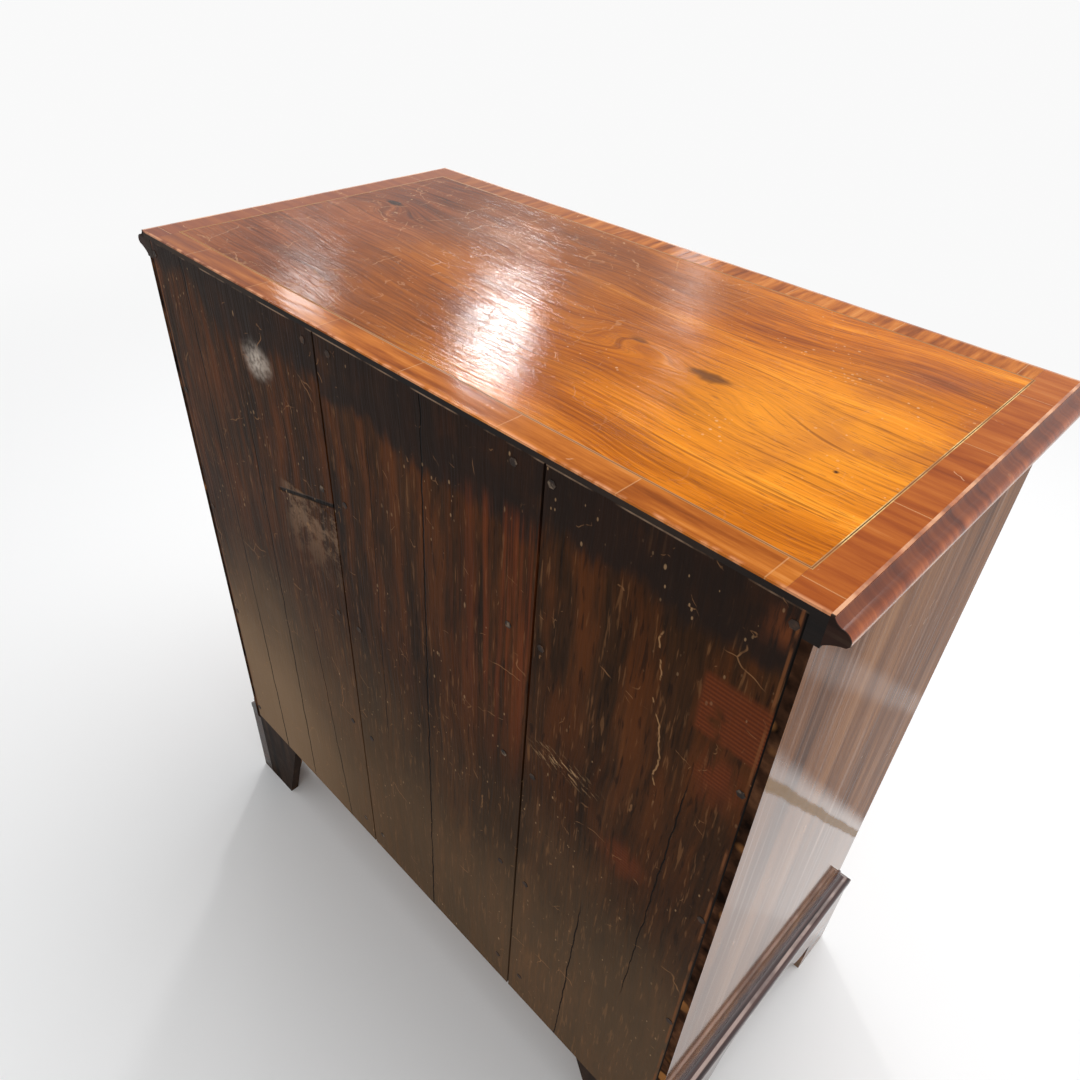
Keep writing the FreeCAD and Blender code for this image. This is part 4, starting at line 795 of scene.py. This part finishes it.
# %% [markdown]
# ## Oak drawer linings
#
# Sides, backs and bottoms are thin quartered oak, dry and silky, with patches of grime. Oak shows short dark pores
# and pale flecks beside them. The sides' fibres run front to back, the others' side to side.

# %% Oak
def dry_oak(name, along, seed):
    """Unpolished oak with pores and ray flecks."""
    oak = Finish(name)
    broad = oak.streaks(along, 40.0, 1.6, seed, 4.0)
    fibre = oak.streaks(along, 500.0, 12.0, seed + 1, 3.0)
    tone = broad * 0.6 + fibre * 0.4
    colour = tone.colours((0.34, 128, 92, 58), (0.5, 164, 124, 82), (0.66, 190, 152, 108))
    pores = oak.streaks(along, 800.0, 60.0, seed + 4, 2.0).rise(0.60, 0.70)
    flecks = oak.streaks(along, 160.0, 40.0, seed + 6, 2.0).rise(0.63, 0.70)
    colour = oak.paint(colour, (pores * 0.5, 74, 50, 32), (flecks * 0.35, 214, 182, 138))
    grime = oak.noise(oak.here, 6.0, 4.0).rise(0.48, 0.72)
    colour = oak.blend(grime * 0.4, colour, shade(92, 68, 48))
    oak.wear(colour, fibre * 0.2 + 0.5, fibre * 0.5 - pores * 0.4, depth=0.0005, strength=0.5)
    return oak


side_oak = dry_oak("oak_sides", "Y", 1.0)
back_oak = dry_oak("oak_back", "X", 4.0)
bottom_oak = dry_oak("oak_bottom", "X", 9.0)
for number in DRAWERS:
    dress(side_oak, f"drawer_{number}_sides")
    dress(back_oak, f"drawer_{number}_back")
    dress(bottom_oak, f"drawer_{number}_bottom")

# %% [markdown]
# ## Brasses and locks
#
# The brass is unlacquered, so it went brown in patches and stayed bright between them. One noise decides where, and
# the brownest parts are less of a metal. The same node also holds the iron lock in the back of the drawer front, so
# the colour changes to iron where the point lies inside the wood. The bails need no such mask.

# %% Worn brass, and iron for the locks
def brasses(name, with_lock):
    """Brass with brown patches. With a lock, what lies inside the wood is coloured as iron."""
    brass = Finish(name)
    patina = brass.noise(brass.here, 42.0, 6.0, 0.6)
    fine = brass.noise(brass.here, 520.0, 3.0)
    colour = (patina * 0.7 + fine * 0.3).colours((0.34, 112, 82, 42), (0.5, 170, 134, 76),
                                                 (0.66, 208, 172, 108))
    rough = patina * 0.24 + fine * 0.1 + 0.14
    metallic = patina.rise(0.2, 0.42) * 0.3 + 0.7
    if with_lock:
        inside = brass.y.rise(side_low.y + 0.0045, side_low.y + 0.0055) * abs(brass.x).rise(0.06, 0.05)
        colour = brass.blend(inside, colour, patina.colours((0.36, 40, 34, 30), (0.62, 96, 82, 70)))
        rough = rough + inside * 0.2
    brass.wear(colour, rough, patina * 0.3 + fine * 0.5, depth=0.0002, strength=0.3, Metallic=metallic)
    return brass


plate_brass, bail_brass = brasses("worn_brass", True), brasses("rubbed_brass", False)
for number in DRAWERS:
    dress(plate_brass, f"drawer_{number}_brasses")
    dress(bail_brass, f"drawer_{number}_bail_left", f"drawer_{number}_bail_right")

# %% [markdown]
# ## Small fixings
#
# Two sizes of fixing are too small for the solids. Each escutcheon is held by three round-headed brass pins, and each
# lock by four iron screws. Both heads are shallow domes, made as meshes ring by ring, as on a lathe. A real screw
# has a slot across its head. It is left out here, because the locks hide inside the drawers and the head is 5.6 mm
# wide.

# %% Shallow domes
def lathe(name, rings, sides, centre, facing):
    """A turned mesh from (radius, height) rings. Facing is -1 towards the front of the chest and 1 to its back."""
    mesh = bmesh.new()
    loops = []
    for radius, height in rings:
        loops.append([mesh.verts.new(centre + Vector((radius * math.cos(angle), facing * height,
                                                      radius * math.sin(angle))))
                      for angle in (2 * math.pi * step / sides for step in range(sides))])
    for lower, upper in zip(loops, loops[1:]):
        for step in range(sides):
            mesh.faces.new((lower[step], lower[step - 1], upper[step - 1], upper[step]))
    mesh.faces.new(loops[0])
    mesh.faces.new(loops[-1])
    bmesh.ops.recalc_face_normals(mesh, faces=mesh.faces)
    data = bpy.data.meshes.new(name)
    mesh.to_mesh(data)
    mesh.free()
    data.shade_smooth()
    piece = bpy.data.objects.new(name, data)
    scene.collection.objects.link(piece)
    return piece


def fix_on(piece, number, finish):
    """Gives a fixing its finish and lets it ride with its drawer."""
    piece.data.materials.append(finish.material)
    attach(piece, f"drawer_{number}")


PIN_RINGS = [(0.0013, -0.0003), (0.0013, 0.0002), (0.0011, 0.0006), (0.0007, 0.0009), (0.0002, 0.001)]
SCREW_RINGS = [(0.0028, -0.0002), (0.0028, 0.0003), (0.0024, 0.0007), (0.0012, 0.0009), (0.0003, 0.001)]
PIN_PLACES = ((-0.0165, -0.005), (0.0165, -0.005), (0.0, 0.0125))
SCREW_PLACES = ((-0.021, -0.005), (-0.021, -0.035), (0.021, -0.005), (0.021, -0.035))
LOCK_DROP, KEY_DROP = 0.006, 0.019
PLATE_FACE, LOCK_FACE = side_low.y - 0.0016, side_low.y + 0.020
print(f"pins stand on the plates at y {PLATE_FACE:.4f} and screws on the locks at y {LOCK_FACE:.4f}")

# %% Pins on the escutcheons, screws on the locks
fixings = 0
for number in DRAWERS:
    low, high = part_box(f"drawer_{number}_front")
    lock_top = high.z - LOCK_DROP
    key_level = lock_top - KEY_DROP
    for x, z in PIN_PLACES:
        pin = lathe(f"escutcheon_pin_{number}_{fixings}", PIN_RINGS, 12, Vector((x, PLATE_FACE, key_level + z)), -1)
        fix_on(pin, number, bail_brass)
        fixings += 1
    for x, z in SCREW_PLACES:
        screw = lathe(f"lock_screw_{number}_{fixings}", SCREW_RINGS, 14, Vector((x, LOCK_FACE, lock_top + z)), 1)
        fix_on(screw, number, iron)
        fixings += 1
print(fixings, "pins and screws")

# %% [markdown]
# ## Floor and light
#
# The floor is pale and plain. Near the chest it is an ordinary matt surface that takes the shadow, and away from it
# it fades to plain white, so that no horizon shows. The world is white to the camera and to reflections, and a
# softer grey as a light.

# %% Floor that fades to white
bpy.ops.mesh.primitive_circle_add(vertices=96, radius=24.0, fill_type="NGON", location=(0, 0, 0))
floor = bpy.context.object
floor.name = "floor"
BACKDROP = (0.95, 0.95, 0.95, 1.0)
FADE_MIDDLE, FADE_START, FADE_END = (0.1, 0.1, 0.0), 0.7, 2.6
ground = Finish("pale_floor", Roughness=0.6, Base_Color=(0.87, 0.87, 0.87, 1.0))
away = ground.distance(ground.here, FADE_MIDDLE)
ray = ground.node("ShaderNodeLightPath", output="Is Camera Ray")
glossy_ray = ground.node("ShaderNodeLightPath", output="Is Glossy Ray")
white = ground.node("ShaderNodeEmission", inputs={"Color": BACKDROP, "Strength": 1.0})
surface = Wire(ground, ground.shader.outputs[0])
fade = away.rise(FADE_START, FADE_END) * ray.most(glossy_ray)
mixed = ground.node("ShaderNodeMixShader", inputs=(fade, surface, white))
ground.join(mixed, ground.tree.nodes["Material Output"].inputs["Surface"])
floor.data.materials.append(ground.material)
print(f"floor fades to white between {FADE_START} m and {FADE_END} m")

# %% World
world = bpy.data.worlds.new("studio")
scene.world = world
world.use_nodes = True
sky = world.node_tree
sky_light = sky.nodes["Background"]
sky_light.inputs["Color"].default_value = (0.98, 0.99, 1.0, 1.0)
sky_light.inputs["Strength"].default_value = 0.62
sky_seen = sky.nodes.new("ShaderNodeBackground")
sky_seen.inputs["Color"].default_value = BACKDROP
paths = sky.nodes.new("ShaderNodeLightPath")
seen = paths.outputs["Is Camera Ray"]
for kind in ("Is Glossy Ray", "Is Transmission Ray"):
    either = sky.nodes.new("ShaderNodeMath")
    either.operation = "MAXIMUM"
    sky.links.new(seen, either.inputs[0])
    sky.links.new(paths.outputs[kind], either.inputs[1])
    seen = either.outputs[0]
choice = sky.nodes.new("ShaderNodeMixShader")
sky.links.new(seen, choice.inputs[0])
sky.links.new(sky_light.outputs[0], choice.inputs[1])
sky.links.new(sky_seen.outputs[0], choice.inputs[2])
sky.links.new(choice.outputs[0], sky.nodes["World Output"].inputs["Surface"])
print("world strength", sky_light.inputs["Strength"].default_value)

# %% [markdown]
# One broad lamp in front and above gives the soft shadow behind the chest, and a weaker one behind lifts the dark
# boards. Two small ones stand lower, across the room. They hardly light the wood, but the waxed top mirrors them as
# soft bright pools. A tall narrow one makes the faint upright streak that a window leaves.

# %% Lamps
def lamp(name, place, target, size, power):
    """A rectangular lamp at a place, aimed at a target."""
    light = bpy.data.lights.new(name, "AREA")
    light.shape = "RECTANGLE"
    light.size, light.size_y = size
    light.energy = power
    holder = bpy.data.objects.new(name, light)
    scene.collection.objects.link(holder)
    aim = Vector(target) - Vector(place)
    holder.matrix_world = Matrix.Translation(place) @ aim.to_track_quat("-Z", "Y").to_matrix().to_4x4()


lamp("key", (-0.5, -1.0, 3.4), (0.0, 0.0, 0.5), (2.4, 2.4), 66.0)
lamp("pool_large", (1.60, -1.45, 1.83), (-0.04, 0.12, 0.78), (0.20, 0.20), 10.5)
lamp("pool_small", (2.12, -1.02, 1.70), (0.13, 0.16, 0.78), (0.14, 0.14), 1.0)
lamp("window", (1.19, -2.02, 1.71), (-0.08, -0.06, 0.78), (0.13, 0.42), 0.8)
lamp("behind", (-1.4, 2.6, 2.0), (0.0, 0.1, 0.4), (2.0, 2.0), 14.0)
print(len(bpy.data.lights), "lamps")

# %% [markdown]
# ## Camera
#
# The camera looks down at the back from a corner, close enough that the upright edges lean together. Its three axes
# are written out: to the right, up, and back towards the camera.

# %% Camera
RIGHT, UP, BACKWARD = (-0.71388, -0.69879, 0.0455), (0.45374, -0.41209, 0.79013), (-0.53338, 0.5847, 0.61125)
EYE = Vector((-0.4485, 0.5031, 1.0458))
FOCUS, FRAME, MIDDLE = 848.07, 1080.0, 538.5

camera_data = bpy.data.cameras.new("camera")
camera_data.sensor_width = 36.0
camera_data.lens = camera_data.sensor_width * FOCUS / FRAME
camera_data.shift_x = (FRAME / 2 - MIDDLE) / FRAME
camera_data.clip_start = 0.01
camera = bpy.data.objects.new("camera", camera_data)
scene.collection.objects.link(camera)
turn = Matrix((RIGHT, UP, BACKWARD)).transposed().to_quaternion().to_matrix()
camera.matrix_world = Matrix.Translation(EYE) @ turn.to_4x4()
scene.camera = camera
scene.view_settings.view_transform = "Standard"
print(f"lens {camera_data.lens:.1f} mm at {tuple(round(value, 2) for value in EYE)}")
